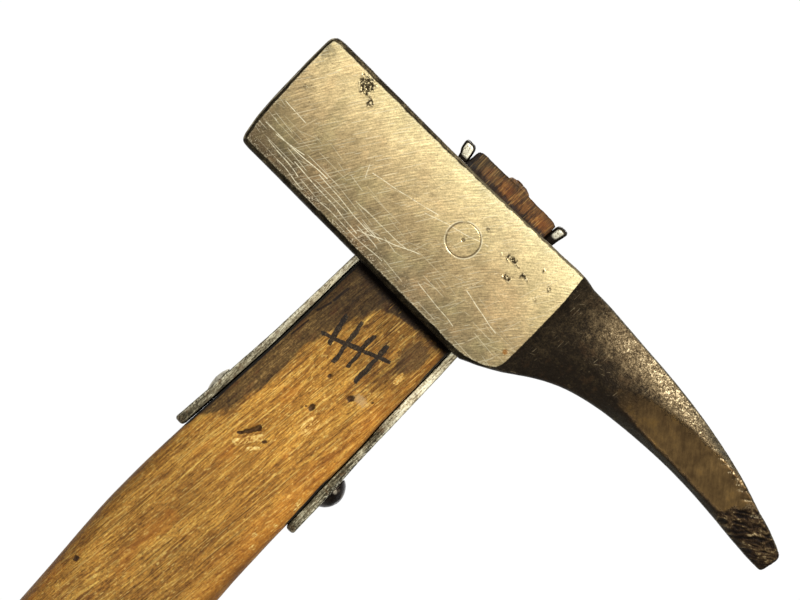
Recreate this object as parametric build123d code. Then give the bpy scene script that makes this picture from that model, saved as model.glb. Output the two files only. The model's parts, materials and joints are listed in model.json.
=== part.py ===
"""Short hammer-headed ice axe: forged head, wooden shaft, two steel straps, one cross
rivet, eye wedge, and a ferrule with a spike at the lower end. Millimetres.

+Z runs up the shaft to the head, +X points along the pick, Y is across the head's
thickness. The axe is modelled with Z = 0 at the head's underside, then lifted by HEAD_Z
on export, which puts the origin at the leash hole's centre, on the shaft's centre line.
"Rear" is the hammer side (-X), "front" the pick side (+X).
"""
from build123d import *
import math
import os

HEAD_Z = 210.0            # head's underside above the leash hole's centre

# ---------------------------------------------------------------- head dimensions
BLOCK_HALF_T = 13.0       # half of the hammer block's thickness (Y)
BLOCK_FACE_X = -59.0      # striking face, nominal
FACE_BOTTOM_X = BLOCK_FACE_X + 0.25
FACE_TOP_X = BLOCK_FACE_X - 0.2
BLOCK_H = 35.0            # block height (Z) at the striking face
BLOCK_END_X = 26.9        # where the pick leaves the block
BLOCK_CORNER_R = 1.6      # striking face's upper and lower corners
BLOCK_EDGE_CH = 0.9       # broken edges round the cheeks
BLOCK_TOP = [(-20.0, BLOCK_H), (16.4, 35.85)]      # bends in the block's top (X, Z)

# pick, upper outline rear to front and lower outline front to rear (X, Z)
PICK_TOP = [(BLOCK_END_X, 36.1), (30.3, 35.65), (38.5, 35.4), (49.5, 34.6), (60.5, 33.8),
            (71.5, 32.4), (82.6, 30.25), (93.6, 27.3), (101.5, 24.7), (108.9, 21.3)]
PICK_BOTTOM = [(107.9, 15.95), (100.9, 15.97), (89.9, 17.0), (78.9, 17.64), (71.5, 17.64),
               (60.5, 16.95), (53.2, 16.1), (45.8, 14.5), (38.5, 11.8), (34.8, 9.7),
               (31.1, 7.3), (27.4, 4.66), (23.8, 1.96), (20.1, 0.55), (16.4, 0.0)]
# pick, half thickness along its length (X, half thickness Y)
PICK_HALF_T = [(BLOCK_END_X, BLOCK_HALF_T), (29.5, 11.6), (33.5, 10.3), (40.0, 9.0),
               (50.0, 7.9), (65.0, 6.9), (85.0, 5.7), (100.0, 4.8), (112.0, 4.2)]

# the head is its side outline crossed with its plan; these oversize the two prisms
SIDE_MARGIN_Y = 2.0
PLAN_REAR_X, PLAN_BOTTOM_Z, PLAN_H = -62.0, -1.0, 45.0

# eye through the head (Z), tapered front and rear
EYE_HALF_W = 8.0          # half width in Y
EYE_CORNER_R = 1.0
EYE_REF_H = 35.0          # height of the "top" values below; the "bottom" ones are at Z = 0
EYE_REAR_BOTTOM, EYE_REAR_TOP = -17.74, -16.90
EYE_FRONT_BOTTOM, EYE_FRONT_TOP = 17.96, 14.80
EYE_CUT_Z = (-5.0, 42.0)  # the cutter overshoots the head at both ends

# ---------------------------------------------------------------- strap dimensions
STRAP_HALF_W = 6.75       # half width in Y
STRAP_END_R = 2.5         # rounded lower corners
STRAP_HOLE_REACH = 25.0   # rivet hole's cutter, outwards from the centre line
# outlines (X, Z), outer side downwards then inner side upwards
STRAP_REAR = [(-17.50, 39.8), (-16.89, 35.3), (-17.74, 0.0), (-18.40, -27.6),
              (-19.20, -40.4), (-20.30, -57.5), (-20.42, -59.4),
              (-18.08, -59.4), (-17.96, -57.5), (-16.90, -40.4), (-16.05, -27.6),
              (-15.75, 0.0), (-14.70, 35.0), (-15.15, 39.8)]
STRAP_FRONT = [(15.30, 40.8), (14.71, 36.0), (17.96, 0.0), (18.60, -19.3), (19.00, -34.0),
               (19.65, -44.8), (20.07, -57.5), (20.12, -58.9),
               (17.66, -58.9), (17.60, -57.5), (17.03, -44.7), (16.76, -32.0),
               (16.24, -23.5), (15.75, 0.0), (12.15, 35.0), (12.55, 40.8)]

# ---------------------------------------------------------------- shaft dimensions
NECK_HALF_X = 15.75       # half width in X at the head's underside
NECK_CORNER_R = 1.6
# wood inside the eye (X, Z)
WOOD_IN_EYE = [(-NECK_HALF_X, 0.0), (NECK_HALF_X, 0.0), (12.15, 35.0), (12.05, 36.0),
               (12.15, 40.5), (-5.40, 40.2), (-13.80, 39.5), (-14.94, 27.0)]
FERRULE_TOP_Z = -232.0
# shaft below the head: Z, rear edge X, front edge X, half thickness Y, corner radius
SHAFT_SECTIONS = [
    (-3.0, -15.82, 15.82, 10.2, 3.4),
    (-23.5, -16.00, 16.24, 10.3, 3.8),
    (-44.8, -16.20, 17.03, 10.4, 4.6),
    (-61.7, -17.45, 17.62, 10.5, 5.4),
    (-80.0, -18.02, 18.50, 10.6, 6.2),
    (-93.0, -17.50, 18.60, 10.7, 7.0),
    (-111.4, -16.15, 17.50, 10.8, 8.0),
    (-140.0, -14.50, 15.40, 11.0, 9.2),
    (-175.0, -13.60, 13.90, 11.0, 9.6),
    (-205.0, -13.50, 13.50, 10.8, 9.6),
    (FERRULE_TOP_Z, -13.20, 13.20, 10.6, 9.6),
]
# lower end, inside the ferrule
FOOT_Z, FOOT_HALF_X, FOOT_HALF_T, FOOT_CORNER_R = -266.0, 9.6, 8.0, 7.4

LEASH_HOLE_R = 4.0        # hole through the shaft along Y
LEASH_CUT_HALF = 20.0
CROSS_CUT_HALF = 30.0     # half length of the cutters along X

# ---------------------------------------------------------------- rivet and wedge dimensions
RIVET_Z = -45.3
RIVET_R = 2.5
RIVET_HEAD_R, RIVET_HEAD_H, RIVET_HEAD_X = 4.4, 2.9, 19.66     # round head, pick side
RIVET_TAIL_R, RIVET_TAIL_H, RIVET_TAIL_X = 3.6, 1.15, -19.50   # hammered dome, hammer side
RIVET_RIM = 0.45          # straight rim under each dome
SHANK_FRONT_X = 19.7      # front end of the shank cut in the shaft

WEDGE_X = -0.95           # centre
WEDGE_TOP_W, WEDGE_TOP_Z = 6.8, 41.3
WEDGE_LOW_W, WEDGE_LOW_Z = 0.9, 12.0
WEDGE_BEVEL_X, WEDGE_BEVEL_Z = 0.9, 1.0            # bevelled top edges
WEDGE_HALF_W = 7.8        # half width in Y
SAW_CUT_LOW_Z = 4.0
SAW_CUT_HALF_W = EYE_HALF_W + 1

# ---------------------------------------------------------------- ferrule, spike, pin dimensions
FERRULE_WALL = 1.3
FERRULE_FLOOR = 2.0
FERRULE_BOTTOM_Z = FOOT_Z - FERRULE_FLOOR
FERRULE_MOUTH_CH, FERRULE_FLOOR_CH = 0.5, 1.0
FERRULE_TAPER = (SHAFT_SECTIONS[-1][2] - FOOT_HALF_X) / (FERRULE_TOP_Z - FOOT_Z)   # X per Z

SPIKE_BASE_HALF, SPIKE_BASE_R = 6.2, 1.6           # half side and corner radius
SPIKE_TIP_HALF, SPIKE_TIP_R = 1.1, 0.5
SPIKE_BASE_H = 5.0        # straight part below the ferrule
SPIKE_LENGTH = 42.0
TANG_HALF_TOP, TANG_HALF_BOTTOM, TANG_TOP_Z = 2.2, 3.6, -238.0

PIN_R = 2.0
PIN_Z = -250.0
PIN_HEAD_H = 0.6
PIN_RIM_INSET = 0.35      # dome's rim, in from the ferrule's side
PIN_RIM_X = FOOT_HALF_X + FERRULE_WALL + FERRULE_TAPER * (PIN_Z - FOOT_Z) - PIN_RIM_INSET


# ---------------------------------------------------------------- helpers
def side_prism(points, half_w):
    """Closed outline in X-Z pushed both ways in Y."""
    wire = Polyline(*[(x, 0, z) for x, z in points], close=True)
    return extrude(make_face(wire.edges()), amount=half_w, dir=(0, 1, 0), both=True)


def section(z, rear, front, half_t, corner_r):
    """Rounded rectangle across the shaft at height z."""
    return Location(((rear + front) / 2, 0, z)) * RectangleRounded(
        front - rear, 2 * half_t, corner_r)


def x_cylinder(radius, x0, x1, z):
    """Solid cylinder along X."""
    return Plane(origin=(x0, 0, z), x_dir=(0, 1, 0), z_dir=(1, 0, 0)) * Cylinder(
        radius, x1 - x0, align=(Align.CENTER, Align.CENTER, Align.MIN))


def dome(rim_r, height, rim_x, side):
    """Rim, middle and crown of a spherical cap's outline, as (x, radius).

    side is 1 for a cap bulging towards +X, -1 towards -X.
    """
    sphere_r = (rim_r * rim_r + height * height) / (2 * height)
    half_angle = 0.5 * math.asin(min(1.0, rim_r / sphere_r))
    middle_x = rim_x + side * (height - sphere_r + sphere_r * math.cos(half_angle))
    middle = (middle_x, sphere_r * math.sin(half_angle))
    return [(rim_x, rim_r), middle, (rim_x + side * height, 0.0)]


def turned(rear_dome, steps, front_dome, axis_z):
    """Solid turned about a line along X: a dome at each end, (x, radius) steps between."""
    def place(points):
        return [(x, 0, axis_z + radius) for x, radius in points]

    rear = place(reversed(rear_dome))
    front = place(front_dome)
    corners = [rear[-1], *place(steps), front[0]]
    edges = [ThreePointArc(*rear)]
    edges += [Line(start, end) for start, end in zip(corners, corners[1:])]
    edges += [ThreePointArc(*front), Line(front[-1], rear[0])]
    return revolve(make_face(edges), axis=Axis((0, 0, axis_z), (1, 0, 0)), revolution_arc=360)


def largest(shape):
    return max(shape.solids(), key=lambda solid: solid.volume)


# ---------------------------------------------------------------- pieces
def make_strap(outline, hole_x0, hole_x1):
    body = side_prism(outline, STRAP_HALF_W)
    low = min(z for _, z in outline)
    ends = [e for e in body.edges().filter_by(GeomType.LINE)
            if abs(abs(e.center().Y) - STRAP_HALF_W) < 1e-3
            and abs(e.center().Z - low) < 1e-3 and e.length > 1.5]
    return fillet(ends, STRAP_END_R) - x_cylinder(RIVET_R, hole_x0, hole_x1, RIVET_Z)


def make_head_side():
    """Side outline of block and pick, thicker in Y than the head."""
    block = [PICK_BOTTOM[-1], (FACE_BOTTOM_X, 0), (FACE_TOP_X, BLOCK_H), *BLOCK_TOP, PICK_TOP[0]]
    block_line = Polyline(*[(x, 0, z) for x, z in block])
    top = [(x, 0, z) for x, z in PICK_TOP]
    bottom = [(x, 0, z) for x, z in PICK_BOTTOM]
    edges = (block_line.edges() + Spline(*top).edges()
             + Line(top[-1], bottom[0]).edges() + Spline(*bottom).edges())
    side = extrude(make_face(edges), amount=BLOCK_HALF_T + SIDE_MARGIN_Y,
                   dir=(0, 1, 0), both=True)
    corners = [e for e in side.edges().filter_by(Axis.Y) if e.center().X < BLOCK_FACE_X + 2]
    return fillet(corners, BLOCK_CORNER_R)


def make_head_plan():
    """Plan outline of block and pick, taller in Z than the head."""
    left = [(x, y, PLAN_BOTTOM_Z) for x, y in PICK_HALF_T]
    right = [(x, -y, PLAN_BOTTOM_Z) for x, y in PICK_HALF_T]
    block_line = Polyline(right[0], (PLAN_REAR_X, -BLOCK_HALF_T, PLAN_BOTTOM_Z),
                          (PLAN_REAR_X, BLOCK_HALF_T, PLAN_BOTTOM_Z), left[0])
    edges = (block_line.edges() + Spline(*left).edges()
             + Spline(*right).edges() + Line(left[-1], right[-1]).edges())
    return extrude(make_face(edges), amount=PLAN_H, dir=(0, 0, 1))


def is_cheek_edge(edge):
    """Edge lying in a cheek of the block, but not the one where the pick begins."""
    centre = edge.center()
    on_cheek = all(abs(abs(y) - BLOCK_HALF_T) < 0.01
                   for y in [centre.Y, *[v.Y for v in edge.vertices()]])
    return on_cheek and abs(centre.X - BLOCK_END_X) >= 0.05


def eye_section(z):
    k = z / EYE_REF_H
    rear = EYE_REAR_BOTTOM + (EYE_REAR_TOP - EYE_REAR_BOTTOM) * k
    front = EYE_FRONT_BOTTOM + (EYE_FRONT_TOP - EYE_FRONT_BOTTOM) * k
    return section(z, rear, front, EYE_HALF_W, EYE_CORNER_R)


def make_head(strap_rear, strap_front):
    head = make_head_side() & make_head_plan()
    head = chamfer([e for e in head.edges() if is_cheek_edge(e)], BLOCK_EDGE_CH)
    eye = loft([eye_section(z) for z in EYE_CUT_Z], ruled=True)
    return head - eye - strap_rear - strap_front


def make_eye_wedge():
    top, low = WEDGE_TOP_W / 2, WEDGE_LOW_W / 2
    return side_prism([
        (WEDGE_X - top + WEDGE_BEVEL_X, WEDGE_TOP_Z), (WEDGE_X + top - WEDGE_BEVEL_X, WEDGE_TOP_Z),
        (WEDGE_X + top, WEDGE_TOP_Z - WEDGE_BEVEL_Z), (WEDGE_X + low, WEDGE_LOW_Z),
        (WEDGE_X - low, WEDGE_LOW_Z), (WEDGE_X - top, WEDGE_TOP_Z - WEDGE_BEVEL_Z),
    ], WEDGE_HALF_W)


def make_saw_cut():
    """Slot in the wood below the wedge."""
    rear, front = WEDGE_X - WEDGE_LOW_W / 2, WEDGE_X + WEDGE_LOW_W / 2
    return side_prism([(rear, WEDGE_LOW_Z), (front, WEDGE_LOW_Z),
                       (front, SAW_CUT_LOW_Z), (rear, SAW_CUT_LOW_Z)], SAW_CUT_HALF_W)


def make_shaft(strap_rear, strap_front, eye_wedge, tang, pin_hole):
    in_eye = side_prism(WOOD_IN_EYE, EYE_HALF_W)
    neck = loft([section(0.0, -NECK_HALF_X, NECK_HALF_X, EYE_HALF_W, NECK_CORNER_R),
                 section(*SHAFT_SECTIONS[0])], ruled=True)
    lower = loft([section(*row) for row in SHAFT_SECTIONS])
    foot = loft([section(*SHAFT_SECTIONS[-1]),
                 section(FOOT_Z, -FOOT_HALF_X, FOOT_HALF_X, FOOT_HALF_T, FOOT_CORNER_R)],
                ruled=True)
    shaft = in_eye + neck + lower + foot

    rivet_hole = x_cylinder(RIVET_R, -CROSS_CUT_HALF, CROSS_CUT_HALF, RIVET_Z)
    shaft = shaft - eye_wedge - make_saw_cut() - tang - pin_hole - rivet_hole
    shank = x_cylinder(RIVET_R, RIVET_TAIL_X, SHANK_FRONT_X, RIVET_Z)
    shaft = shaft - strap_rear - strap_front - shank
    leash_plane = Plane(origin=(0, -LEASH_CUT_HALF, -HEAD_Z), x_dir=(1, 0, 0), z_dir=(0, 1, 0))
    return shaft - leash_plane * Cylinder(
        LEASH_HOLE_R, 2 * LEASH_CUT_HALF, align=(Align.CENTER, Align.CENTER, Align.MIN))


def make_ferrule(shaft, tang, pin_hole):
    """Tapered cup, hollowed by the shaft itself."""
    top_z, rear, front, half_t, corner_r = SHAFT_SECTIONS[-1]
    growth = FERRULE_WALL - FERRULE_TAPER * FERRULE_FLOOR    # over the shaft's foot
    bottom_half_x = FOOT_HALF_X + growth
    ferrule = loft([
        section(top_z, rear - FERRULE_WALL, front + FERRULE_WALL,
                half_t + FERRULE_WALL, corner_r + FERRULE_WALL),
        section(FERRULE_BOTTOM_Z, -bottom_half_x, bottom_half_x,
                FOOT_HALF_T + growth, FOOT_CORNER_R + FERRULE_WALL),
    ], ruled=True)
    for z, size in ((top_z, FERRULE_MOUTH_CH), (FERRULE_BOTTOM_Z, FERRULE_FLOOR_CH)):
        ferrule = chamfer([e for e in ferrule.edges() if abs(e.center().Z - z) < 0.01], size)
    return largest(ferrule - shaft - tang - pin_hole)


def make_tang():
    return loft([Location((0, 0, z)) * Rectangle(2 * half, 2 * half)
                 for z, half in ((FERRULE_BOTTOM_Z, TANG_HALF_BOTTOM),
                                 (TANG_TOP_Z, TANG_HALF_TOP))], ruled=True)


def make_spike(tang, pin_hole):
    def square(depth, half, corner_r):
        return section(FERRULE_BOTTOM_Z - depth, -half, half, half, corner_r)

    base = square(0.0, SPIKE_BASE_HALF, SPIKE_BASE_R)
    shoulder = square(SPIKE_BASE_H, SPIKE_BASE_HALF, SPIKE_BASE_R)
    tip = square(SPIKE_LENGTH, SPIKE_TIP_HALF, SPIKE_TIP_R)
    spike = loft([base, shoulder], ruled=True) + loft([shoulder, tip], ruled=True)
    return spike + tang - pin_hole


def make_ferrule_pin():
    return turned(dome(PIN_R, PIN_HEAD_H, -PIN_RIM_X, -1), [],
                  dome(PIN_R, PIN_HEAD_H, PIN_RIM_X, 1), PIN_Z)


def make_cross_rivet(strap_rear, strap_front):
    tail_x, head_x = RIVET_TAIL_X + RIVET_RIM, RIVET_HEAD_X - RIVET_RIM
    rivet = turned(
        dome(RIVET_TAIL_R, RIVET_TAIL_H, RIVET_TAIL_X, -1),
        [(tail_x, RIVET_TAIL_R), (tail_x, RIVET_R), (head_x, RIVET_R), (head_x, RIVET_HEAD_R)],
        dome(RIVET_HEAD_R, RIVET_HEAD_H, RIVET_HEAD_X, 1), RIVET_Z)
    return largest(rivet - strap_rear - strap_front)


# ---------------------------------------------------------------- build and write
strap_rear = make_strap(STRAP_REAR, -STRAP_HOLE_REACH, 0)
strap_front = make_strap(STRAP_FRONT, 0, STRAP_HOLE_REACH)
eye_wedge = make_eye_wedge()
tang = make_tang()
pin_hole = x_cylinder(PIN_R, -CROSS_CUT_HALF, CROSS_CUT_HALF, PIN_Z)
shaft = make_shaft(strap_rear, strap_front, eye_wedge, tang, pin_hole)

pieces = {
    "head": make_head(strap_rear, strap_front),
    "shaft": shaft,
    "strap_rear": strap_rear,
    "strap_front": strap_front,
    "cross_rivet": make_cross_rivet(strap_rear, strap_front),
    "eye_wedge": eye_wedge,
    "ferrule": make_ferrule(shaft, tang, pin_hole),
    "spike": make_spike(tang, pin_hole),
    "ferrule_pin": make_ferrule_pin(),
}
os.makedirs("parts", exist_ok=True)
lift = Location((0, 0, HEAD_Z))
for name, shape in pieces.items():
    solids = shape.solids()
    body = solids[0] if len(solids) == 1 else Compound(children=list(solids))
    moved = body.moved(lift)
    moved.label = name
    export_step(moved, f"parts/{name}.step")
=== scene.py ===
# A pick hammer on a wooden shaft. The forged head lies along X, with its striking face
# towards -X and its pick towards +X. The shaft hangs down -Z, is riveted between two
# steel straps (the rear one at -X, the front one at +X), and ends in a ferrule and a spike.
# The camera looks along +Y. The shapes are worked out in mm from the head's underside on
# the shaft's centre line; make_part turns them into metres in the frame.
import json
import math
from functools import reduce
from itertools import product
from operator import or_
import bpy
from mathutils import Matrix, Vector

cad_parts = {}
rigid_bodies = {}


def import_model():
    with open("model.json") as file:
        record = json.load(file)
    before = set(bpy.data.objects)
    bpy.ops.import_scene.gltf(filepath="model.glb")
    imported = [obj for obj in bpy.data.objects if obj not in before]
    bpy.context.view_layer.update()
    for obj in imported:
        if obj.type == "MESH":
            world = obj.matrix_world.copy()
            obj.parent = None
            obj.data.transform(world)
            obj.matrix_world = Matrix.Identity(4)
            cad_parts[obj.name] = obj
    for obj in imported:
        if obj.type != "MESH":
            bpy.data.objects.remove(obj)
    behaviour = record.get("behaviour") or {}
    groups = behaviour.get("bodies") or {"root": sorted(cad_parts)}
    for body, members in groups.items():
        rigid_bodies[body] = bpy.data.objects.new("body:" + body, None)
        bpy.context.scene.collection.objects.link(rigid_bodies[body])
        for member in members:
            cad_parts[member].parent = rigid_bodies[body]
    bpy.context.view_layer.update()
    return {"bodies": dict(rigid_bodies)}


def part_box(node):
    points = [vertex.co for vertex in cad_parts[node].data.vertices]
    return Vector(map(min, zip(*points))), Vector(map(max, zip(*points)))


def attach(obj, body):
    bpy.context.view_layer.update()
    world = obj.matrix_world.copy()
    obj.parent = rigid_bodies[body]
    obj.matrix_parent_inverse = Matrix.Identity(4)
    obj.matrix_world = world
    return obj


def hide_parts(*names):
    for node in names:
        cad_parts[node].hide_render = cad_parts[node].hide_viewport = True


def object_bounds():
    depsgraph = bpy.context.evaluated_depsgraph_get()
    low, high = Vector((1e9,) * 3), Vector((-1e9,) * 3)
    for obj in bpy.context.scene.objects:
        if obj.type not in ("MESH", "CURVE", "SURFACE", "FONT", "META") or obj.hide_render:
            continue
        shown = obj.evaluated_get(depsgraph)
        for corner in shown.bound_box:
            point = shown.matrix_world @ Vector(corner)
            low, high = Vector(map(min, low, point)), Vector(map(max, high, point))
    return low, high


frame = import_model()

from types import SimpleNamespace

import bpy
import numpy as np
from mathutils import Matrix, Vector

BODY = list(frame["bodies"])[0]
HEAD_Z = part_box("head")[0].z * 1000.0      # the head's underside in the frame, mm
HOLE_Z = -HEAD_Z                           # the shaft's through hole, at the frame's zero


# ============================================================ numeric helpers
def smooth(start, end, x):
    """Smooth step of x from 0 at start to 1 at end; start may be above end."""
    t = np.clip((np.asarray(x, float) - start) / (end - start), 0.0, 1.0)
    return t * t * (3 - 2 * t)


def pchip(x, points):
    """Shape-preserving cubic through a table of (place, value)."""
    xs, ys = np.array(points, float).T
    gap = np.diff(xs)
    rise = np.diff(ys) / gap
    slope = np.zeros_like(ys)
    slope[0], slope[-1] = rise[0], rise[-1]
    for i in range(1, len(xs) - 1):
        if rise[i - 1] * rise[i] > 0:
            w1, w2 = 2 * gap[i] + gap[i - 1], gap[i] + 2 * gap[i - 1]
            slope[i] = (w1 + w2) / (w1 / rise[i - 1] + w2 / rise[i])
    x = np.clip(np.asarray(x, float), xs[0], xs[-1])
    i = np.clip(np.searchsorted(xs, x, side="right") - 1, 0, len(xs) - 2)
    t = (x - xs[i]) / gap[i]
    return ((1 + 2 * t) * (1 - t) ** 2 * ys[i] + t * (1 - t) ** 2 * gap[i] * slope[i]
            + t * t * (3 - 2 * t) * ys[i + 1] + t * t * (t - 1) * gap[i] * slope[i + 1])


def drop(t):
    """How far a unit quarter circle has fallen away at t, from 0 to 1."""
    t = min(max(t, 0.0), 1.0)
    return 1 - math.sqrt(1 - t * t)


def cell_random(i, j, k, seed):
    """A random number from 0 to 1 for each whole-numbered cell."""
    with np.errstate(over="ignore"):
        h = ((i.astype(np.uint32) * np.uint32(0x8DA6B343))
             ^ (j.astype(np.uint32) * np.uint32(0xD8163841))
             ^ (k.astype(np.uint32) * np.uint32(0xCB1AB31F))
             ^ np.uint32((seed * 0x9E3779B1) & 0xFFFFFFFF))
        h ^= h >> np.uint32(15)
        h *= np.uint32(0x85EBCA6B)
        h ^= h >> np.uint32(13)
        h *= np.uint32(0xC2B2AE35)
        h ^= h >> np.uint32(16)
    return h.astype(np.float64) / 4294967295.0


def value_noise(points, seed):
    """Value noise, -1 to 1, at points (N, 3)."""
    base = np.floor(points)
    cell = base.astype(np.int64)
    t = points - base
    t = t * t * t * (t * (t * 6 - 15) + 10)
    weight = (1 - t, t)
    out = np.zeros(len(points))
    for i, j, k in product((0, 1), repeat=3):
        out += (weight[i][:, 0] * weight[j][:, 1] * weight[k][:, 2]
                * cell_random(cell[:, 0] + i, cell[:, 1] + j, cell[:, 2] + k, seed))
    return out * 2 - 1


def fbm(points, size, octaves, seed):
    """Fractal noise about -1 to 1; size is the largest feature, mm (one number or one per axis)."""
    scaled = points / np.asarray(size, float)
    out, amp, total = np.zeros(len(points)), 1.0, 0.0
    for octave in range(octaves):
        out += amp * value_noise(scaled + 17.3 * octave, seed + 31 * octave)
        total += amp
        amp *= 0.5
        scaled = scaled * 2.03
    return out / total


def worley(points, size, seed):
    """Distance to the nearest cell point, in cells, and that cell's random number."""
    scaled = points / size
    cell = np.floor(scaled).astype(np.int64)
    nearest = np.full(len(scaled), 9.0)
    number = np.zeros(len(scaled))
    for step in product((-1, 0, 1), repeat=3):
        i, j, k = (cell + step).T
        dist = np.sqrt((scaled[:, 0] - (i + cell_random(i, j, k, seed + 1))) ** 2
                       + (scaled[:, 1] - (j + cell_random(i, j, k, seed + 2))) ** 2
                       + (scaled[:, 2] - (k + cell_random(i, j, k, seed + 3))) ** 2)
        near = dist < nearest
        number = np.where(near, cell_random(i, j, k, seed + 4), number)
        nearest = np.where(near, dist, nearest)
    return nearest, number


# ============================================================ mesh helpers
class Skin:
    """Collects vertices and quads, in mm above the head's underside."""

    def __init__(self):
        self.vert_sets = []
        self.face_sets = []
        self.mat_sets = []
        self.count = 0

    def add(self, points):
        """Adds a sheet's points (a, b, 3) and returns their indices."""
        rows, cols = points.shape[:2]
        idx = self.count + np.arange(rows * cols).reshape(rows, cols)
        self.vert_sets.append(points.reshape(-1, 3))
        self.count += rows * cols
        return idx

    def faces(self, idx, mat=0, closed=False, flip=False, keep=None):
        """Joins a sheet of indices; closed also joins its last column to its first."""
        if closed:
            idx = np.concatenate([idx, idx[:, :1]], axis=1)
        quads = np.stack([idx[:-1, :-1], idx[:-1, 1:], idx[1:, 1:], idx[1:, :-1]], axis=-1)
        if flip:
            quads = quads[..., ::-1]
        if keep is None:
            keep = np.ones(quads.shape[:2], dtype=bool)
        self.face_sets.append(quads[keep])
        self.mat_sets.append(np.broadcast_to(mat, quads.shape[:2])[keep])

    def bridge(self, first, rings, last):
        """Joins two loops of indices through rings of new points; returns the new indices."""
        idx = self.add(rings)
        self.faces(np.concatenate([first[None], idx, last[None]]), closed=True)
        return idx.reshape(-1)

    def cap(self, loop, points, corners, mat=0, flip=False, shape=None):
        """Closes a loop with a four-sided patch; corners are four places in the loop."""
        count = len(loop)
        sides = []
        for start, end in zip(corners, corners[1:] + corners[:1]):
            sides.append([(start + k) % count for k in range((end - start) % count + 1)])
        side0, side1, side2, side3 = sides[0], sides[1], sides[2][::-1], sides[3][::-1]
        u = np.linspace(0, 1, len(side0))[:, None, None]
        v = np.linspace(0, 1, len(side1))[None, :, None]
        at0, at1, at2, at3 = (points[c] for c in corners)
        patch = ((1 - v) * points[side0][:, None] + v * points[side2][:, None]
                 + (1 - u) * points[side3][None] + u * points[side1][None]
                 - ((1 - u) * (1 - v) * at0 + u * (1 - v) * at1 + u * v * at2 + (1 - u) * v * at3))
        if shape is not None:
            patch = shape(patch, u[..., 0], v[..., 0])
        idx = np.zeros(patch.shape[:2], dtype=np.int64)
        idx[:, 0] = loop[side0]
        idx[:, -1] = loop[side2]
        idx[-1, :] = loop[side1]
        idx[0, :] = loop[side3]
        idx[1:-1, 1:-1] = self.add(patch[1:-1, 1:-1])
        self.faces(idx, mat, flip=flip)

    def arrays(self):
        """Vertices, faces turned outward, and each face's material."""
        verts, faces = np.concatenate(self.vert_sets), np.concatenate(self.face_sets)
        a, b, c, d = (verts[faces[:, k]] for k in range(4))
        volume = (np.einsum("ij,ij->i", a, np.cross(b, c)).sum()
                  + np.einsum("ij,ij->i", a, np.cross(c, d)).sum())
        if volume <= 0:
            faces = faces[:, ::-1]
        return verts, faces, np.concatenate(self.mat_sets)


def tube(rows, corners):
    """A tube through rows of points, closed at both ends."""
    points = np.stack(rows)
    skin = Skin()
    idx = skin.add(points)
    skin.faces(idx, closed=True)
    skin.cap(idx[0], points[0], corners, flip=True)
    skin.cap(idx[-1], points[-1], corners)
    return skin.arrays()


def level_row(outline, z, x=0.0):
    """A flat outline set at height z and moved along X."""
    return np.stack([outline[:, 0] + x, outline[:, 1], np.full(len(outline), z)], 1)


def rounded_rect(half_x, half_y, radius, n_x, n_y, n_arc):
    """Rounded rectangle, anticlockwise from the -X -Y corner, and its four corner places."""
    points = []
    corners = []

    def line(ax, ay, bx, by, count):
        for k in range(1, count):
            points.append((ax + (bx - ax) * k / count, ay + (by - ay) * k / count))

    def arc(cx, cy, start):
        for k in range(n_arc + 1):
            angle = math.radians(start + 90.0 * k / n_arc)
            if k == n_arc // 2:
                corners.append(len(points))
            points.append((cx + radius * math.cos(angle), cy + radius * math.sin(angle)))

    flat_x, flat_y = half_x - radius, half_y - radius
    arc(-flat_x, -flat_y, 180)
    line(-flat_x, -half_y, flat_x, -half_y, n_x)
    arc(flat_x, -flat_y, 270)
    line(half_x, -flat_y, half_x, flat_y, n_y)
    arc(flat_x, flat_y, 0)
    line(flat_x, half_y, -flat_x, half_y, n_x)
    arc(-flat_x, flat_y, 90)
    line(-half_x, flat_y, -half_x, -flat_y, n_y)
    return np.array(points), corners


def normals(verts, faces):
    across = verts[faces[:, 2]] - verts[faces[:, 0]]
    face_normals = np.cross(across, verts[faces[:, 3]] - verts[faces[:, 1]])
    out = np.zeros_like(verts)
    for k in range(4):
        np.add.at(out, faces[:, k], face_normals)
    return out / np.maximum(np.linalg.norm(out, axis=1), 1e-12)[:, None]


def make_part(name, node, shape, mats, attrs):
    verts, faces, face_mats = shape
    mesh = bpy.data.meshes.new(name)
    mesh.from_pydata(((verts + np.array([0, 0, HEAD_Z])) * 0.001).tolist(), [], faces.tolist())
    for mat in mats:
        mesh.materials.append(mat)
    mesh.polygons.foreach_set("material_index", face_mats.astype(np.int32))
    mesh.polygons.foreach_set("use_smooth", np.ones(len(faces), dtype=bool))
    for key, values in attrs.items():
        attribute = mesh.attributes.new(key, "FLOAT", "POINT")
        attribute.data.foreach_set("value", np.ascontiguousarray(values, dtype=np.float32))
    mesh.validate()
    mesh.update()
    part = bpy.data.objects.new(name, mesh)
    bpy.context.scene.collection.objects.link(part)
    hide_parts(node)
    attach(part, BODY)


# ============================================================ node helpers
# Colours are (red, green, blue) in sRGB, 0 to 255, unless said to be linear.
def srgb(*colour):
    """An sRGB colour as linear values."""
    shares = (channel / 255 for channel in colour)
    return tuple(s / 12.92 if s <= 0.04045 else ((s + 0.055) / 1.055) ** 2.4 for s in shares)


def linear(colour):
    return srgb(*colour) if isinstance(colour, tuple) else colour


def set_input(tree, socket, value):
    """Links a field or a socket to an input, or sets its value."""
    if isinstance(value, Field):
        value = value.socket
    if isinstance(value, bpy.types.NodeSocket):
        tree.links.new(value, socket)
    elif isinstance(value, tuple) and len(value) == 3 and len(socket.default_value) == 4:
        socket.default_value = (*value, 1.0)
    else:
        socket.default_value = value


def add_node(tree, kind, *inputs, **settings):
    """A node with its inputs filled in order; None leaves an input alone."""
    node = tree.nodes.new("ShaderNode" + kind)
    for key, value in settings.items():
        setattr(node, key, value)
    for socket, value in zip(node.inputs, inputs):
        if value is not None:
            set_input(tree, socket, value)
    return node


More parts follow.
